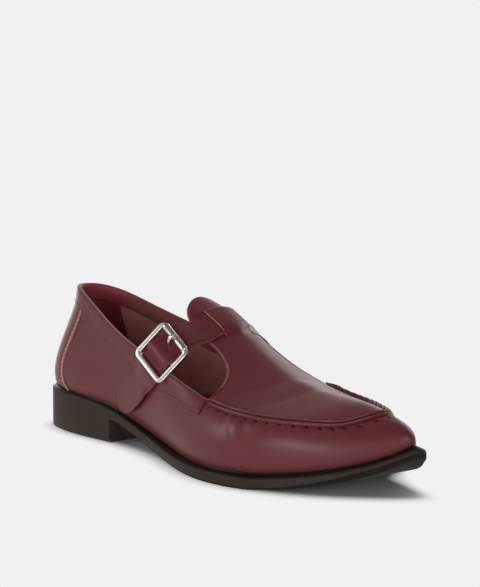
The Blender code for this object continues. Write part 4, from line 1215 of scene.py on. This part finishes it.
# ---------------------------------------------------------------- sole and insole
def make_sole():
    """Moulded unit sole: rounded wall, shallow rim with a groove at the upper, low block heel."""
    breast_row = np.interp(HEEL_BREAST, [r.x for r in EDGE_ROWS], np.arange(TOE_ROW + 1))
    breast, medial_breast = float(station(breast_row, -1)), float(station(breast_row, 1))
    shape = Shape()
    shares = np.linspace(0, 1, 9)[None, :, None]
    bow = BREAST_SAG * (1 - (2 * shares[..., 0] - 1) ** 2)
    breast_lines = []
    for s, heel in ((np.linspace(medial_breast - LOOP, breast, 170), True),
                    (np.linspace(breast, medial_breast, 360), False)):
        plan, out = sole_edge(s), outward(s)
        width, rise = rim(s).T
        top, low = sole_top(plan[:, 0]), ground(plan[:, 0])
        # each row is (inwards from the outline, height), from the seat out and down the wall
        rows = [(width + 2.2, top + rise + 0.15), (width + 0.5, top + rise + 0.15),
                (width + 0.2, top + rise - 0.8), (width - 0.5, top + rise - 0.85),
                (width - 1.0, top + rise * 0.55), (width * 0.5, top + rise * 0.42),
                (1.0, top + rise * 0.10), (0.45, top - 0.06), (0.12, top - 0.36),
                (0.0, top - 0.8), (0.0, top - 2.6)]
        if heel:
            rows += [(0.0, low + step) for step in (0.6, 0.4, 0.2, 0.0)]
            rows += [(0.0, low * 0.75), (0.0, low * 0.4), (0.0, 0.9), (0.2, 0.3), (0.8, 0.0)]
        else:
            # the lower edge is rounded, most at the toe and not at all at the breast
            turn = np.clip(np.minimum(s - breast, medial_breast - s) / 3.0, 0, 1)
            turn = turn * (1 + 3.0 * smooth(plan[:, 0], 215, 262))
            rows += [(inwards * turn, low + height * turn)
                     for inwards, height in ((0.0, 0.9), (0.15, 0.45), (0.3, 0.2), (0.65, 0.0))]
        grid = [np.column_stack([plan - out * np.reshape(inwards, (-1, 1)), height + 0 * s])
                for inwards, height in rows]
        # the first faces, over the seat, the groove and the rim, are near black as painted shade; at
        # the front the last three, round the lower edge, are painted darker as painted shade
        slots = np.array([1] * 6 + [0] * (len(rows) - 10) + [0 if heel else 2] * 3)
        shape.grid(np.stack(grid, 1), slots[None, :])
        loop, half = grid[-1], len(s) // 2
        if heel:
            left, right = loop[:half + 1][::-1], loop[len(s) - half - 1:]
        else:
            left, right = loop[:half], loop[::-1][:half]
        across = left[:, None] * (1 - shares) + right[:, None] * shares
        x = across[..., 0]
        if heel:
            across[..., 0] = x - bow * smooth(x, HEEL_BREAST - 14, HEEL_BREAST)
        else:
            across[..., 0] = x - bow * smooth(-x, -HEEL_BREAST - 12, -HEEL_BREAST)
        breast_lines.append(across[-1 if heel else 0])
        # the underside is painted darker, as painted shade
        shape.grid(across, 2)
    heel_line, front_line = breast_lines
    if np.linalg.norm(heel_line[0] - front_line[0]) > 30:      # they run opposite ways
        heel_line = heel_line[::-1]
    shares = np.linspace(0, 1, 6)[:, None, None]
    shape.grid(heel_line * (1 - shares) + front_line * shares)
    shape.make("unit_sole", (RUBBER, RIM_PAINTED_SHADE, TREAD_PAINTED_SHADE), "sole", ("sole",), sharp=38)


def make_sock():
    """Thin sock lining on the insole, dished a little towards its middle."""
    shares = np.linspace(-1, 1, 25)
    dish = 0.9 * np.abs(shares) ** 4 - 0.25
    top, low = [], []
    for row in np.linspace(0, TOE_ROW, 110):
        a, b = (seat(station(row, side), LEATHER + 0.5) for side in (-1, 1))
        half = (b - a) / 2
        line = (a + b) / 2 + half * shares[:, None]
        near = np.linalg.norm(half) * (1 - np.abs(shares))
        top.append(line + UP * (GAP + INSOLE + dish - 0.6 * np.exp(-near / 0.6))[:, None])
        low.append(line + UP * (GAP + 0.05))
    top, low = np.array(top), np.array(low)
    shape = Shape()
    shape.grid(top)
    shape.grid(low)
    for side in (0, -1):
        shape.grid(np.stack([top[:, side], low[:, side]], 1))
    shape.make("insole_sock", (LINING,), "lining", ("insole",), sharp=50)


# ---------------------------------------------------------------- stage, light and camera
# brightness of the studio by height, as (sine of the angle over the horizon, level):
# behind the shoe, as the camera sees it, and everywhere else
SKY_BEHIND = ((-0.9, 0.85), (-0.1, 0.95), (0.02, 1.15), (0.30, 1.05), (0.46, 0.50), (0.62, 0.14),
              (0.9, 0.10))
SKY_FRONT = ((-0.9, 0.7), (-0.1, 0.50), (0.02, 0.38), (0.14, 0.30), (0.30, 0.18), (0.9, 0.12))
BEHIND = (-0.777, 0.629, 0.0)      # level direction away from the camera, past the shoe
FLOOR_FRONT, FLOOR_BEND = 14.0, 1.6    # metres of floor before the shoe, and behind it to the bend
# floor by distance in mm outside the sole: grey from, to, as painted shadow round the sole; its glow
# fades in over the second span and covers the shadow further out
FLOOR_PAINTED_SHADOW = (-5.0, 2.0, 0.62, 0.88)
FLOOR_GLOW = (-7.0, 9.5)
# name, place, size in metres, watts, and whether its reflection is seen
LAMPS = (
    ("overhead", (-0.6, 0.6, 1.3), (1.2, 1.2), 9.0, False),
    ("front_fill", (0.6, -1.1, 0.35), (1.0, 0.5), 3.0, False),
    ("ball_box", (0.40, -1.05, 0.10), (0.6, 0.16), 2.6, True),
    ("toe_box", (1.05, -0.25, 0.28), (0.3, 0.25), 1.2, True),
    ("toe_back", (-0.1, 1.2, 0.7), (0.9, 0.6), 4.0, True),
    ("heel_back", (-1.5, 0.47, 0.14), (0.45, 0.5), 3.0, True),
    ("buckle_box", (-0.80, -0.88, 0.46), (0.36, 0.30), 2.1, True),
)
LAMP_TARGET = Vector((0.0, 0.0, 0.03))
# fitted to the photo's angle of view, in metres and mm of focal length
CAMERA_AT = (0.54332, -0.42588, 0.13471)
CAMERA_VIEW = (-0.77498, 0.62703, -0.07898)
CAMERA_LENS = 85.55


def outline_distance(points):
    """Signed distance in mm from floor points to the sole's outline, negative under the shoe."""
    near, inside = [], []
    ends = np.roll(OUTLINE, -1, 0)
    run, climb = ends[:, 0] - OUTLINE[:, 0], ends[:, 1] - OUTLINE[:, 1]
    for part in np.array_split(points, 40):
        gap = np.linalg.norm(part[:, None] - OUTLINE[None], axis=-1)
        near.append(gap.min(1))
        level = part[:, 1:] - OUTLINE[None, :, 1]
        spans = (OUTLINE[:, 1] > part[:, 1:]) != (ends[:, 1] > part[:, 1:])
        cross = OUTLINE[:, 0] + run * level / np.where(climb == 0, 1e-9, climb)
        inside.append(np.sum(spans & (cross > part[:, :1]), 1) % 2 == 1)
    return np.concatenate(near) * np.where(np.concatenate(inside), -1.0, 1.0)


def make_stage():
    """Pale seamless floor; it is painted greyer close round the shoe as painted shadow and glows
    evenly away from it.
    """
    material, tree, shader = shader_tree("studio_paper")
    vary_roughness(tree, shader, node(tree, "TexCoord").outputs["Object"], 0.9, 1.0, 5.0)
    attribute = node(tree, "Attribute")
    attribute.attribute_name = "reach"
    reach = attribute.outputs["Fac"]
    # the floor's colour is painted grey towards the sole: painted shadow
    feed(tree, shader, Specular_IOR_Level=0.0, Base_Color=ramp_from(tree, reach, *FLOOR_PAINTED_SHADOW))
    glow = node(tree, "Emission", Color=(PAPER, PAPER, PAPER, 1.0), Strength=1.0)
    soft = node(tree, "MixShader", Fac=ramp_from(tree, reach, *FLOOR_GLOW, 0.0, 1.0))
    tree.links.new(shader.outputs["BSDF"], soft.inputs[1])
    tree.links.new(glow.outputs["Emission"], soft.inputs[2])
    feed(tree, tree.nodes["Material Output"], Surface=soft.outputs["Shader"])
    # flat under the shoe, then swept up behind it; fine where the shadow lies
    fine = np.linspace(-0.17, 0.17, 137)
    profile = [(-FLOOR_FRONT, 0.0)] + [(d, 0.0) for d in fine] + [(FLOOR_BEND, 0.0)]
    profile += [(FLOOR_BEND + 1.2 * math.sin(a), 1.2 - 1.2 * math.cos(a))
                for a in np.linspace(0.1, math.pi / 2, 12)]
    profile.append((FLOOR_BEND + 1.2, 5.0))
    side = np.array([BEHIND[1], -BEHIND[0], 0.0])
    points = np.array([[np.array(BEHIND) * depth + side * across + UP * height
                        for across in (-5.0, *fine, 5.0)] for depth, height in profile])
    rows, columns = points.shape[:2]
    index = np.arange(rows * columns).reshape(rows, columns)
    quads = np.stack([index[:-1, :-1], index[:-1, 1:], index[1:, 1:], index[1:, :-1]], -1)
    points = points.reshape(-1, 3)
    data = bpy.data.meshes.new("floor")
    data.from_pydata(points.tolist(), [], quads.reshape(-1, 4).tolist())
    plan = points / MM + np.array(MIDDLE)
    far = outline_distance(plan[:, :2])
    # the painted shadow is moved off the floor by the medial side of the toe
    far = far + 10.0 * smooth(plan[:, 1], 5, 22) * smooth(plan[:, 0], 215, 235)
    data.attributes.new("reach", "FLOAT", "POINT").data.foreach_set("value", far)
    data.shade_smooth()
    data.materials.append(material)
    floor = bpy.data.objects.new("floor", data)
    bpy.context.scene.collection.objects.link(floor)
    floor.visible_glossy = False


def aim(thing, place, direction):
    thing.location = place
    thing.rotation_mode = "QUATERNION"
    thing.rotation_quaternion = Vector(direction).to_track_quat("-Z", "Y")
    bpy.context.scene.collection.objects.link(thing)


def make_lights():
    world = bpy.data.worlds.new("studio")
    world.use_nodes = True
    tree = world.node_tree
    where = node(tree, "TexCoord").outputs["Generated"]
    split = node(tree, "SeparateXYZ", Vector=where)
    height = node(tree, "MapRange", Value=split.outputs["Z"], From_Min=-1.0).outputs["Result"]
    behind = node(tree, "VectorMath")
    behind.operation = "DOT_PRODUCT"
    tree.links.new(where, behind.inputs[0])
    behind.inputs[1].default_value = BEHIND
    blend = node(tree, "Mix")
    blend.data_type = "RGBA"
    feed(tree, blend, Factor=ramp_from(tree, behind.outputs["Value"], 0.70, 0.95, 0.0, 1.0))
    for levels, key in ((SKY_FRONT, 6), (SKY_BEHIND, 7)):      # the mix node's two colours
        ramp = node(tree, "ValToRGB", Fac=height)
        stops = ramp.color_ramp.elements
        for sine, level in levels:
            stops.new((sine + 1) / 2).color = (level, level, level, 1.0)
        for end, (_, level) in zip((stops[0], stops[-1]), (levels[0], levels[-1])):
            end.color = (level, level, level, 1.0)
        tree.links.new(ramp.outputs["Color"], blend.inputs[key])
    feed(tree, tree.nodes["Background"], Color=blend.outputs[2])
    bpy.context.scene.world = world
    for name, place, size, power, seen in LAMPS:
        data = bpy.data.lights.new(name, "AREA")
        data.shape = "RECTANGLE"
        data.size, data.size_y = size
        data.energy = power
        lamp = bpy.data.objects.new(name, data)
        aim(lamp, place, LAMP_TARGET - Vector(place))
        lamp.visible_glossy = seen
        lamp.visible_camera = False


def make_camera():
    data = bpy.data.cameras.new("camera")
    data.sensor_width = 36.0
    data.lens = CAMERA_LENS
    data.clip_start, data.clip_end = 0.01, 30.0
    camera = bpy.data.objects.new("camera", data)
    aim(camera, CAMERA_AT, CAMERA_VIEW)
    bpy.context.scene.camera = camera


bpy.context.scene.view_settings.view_transform = "Standard"
make_camera()
make_stage()
make_lights()
make_sole()
make_sock()
make_upper_wall()
make_vamp()
make_seam_ridge()
make_gathers()
make_collar_band()
make_backstay()
make_strap()
make_buckle()
bpy.context.view_layer.update()
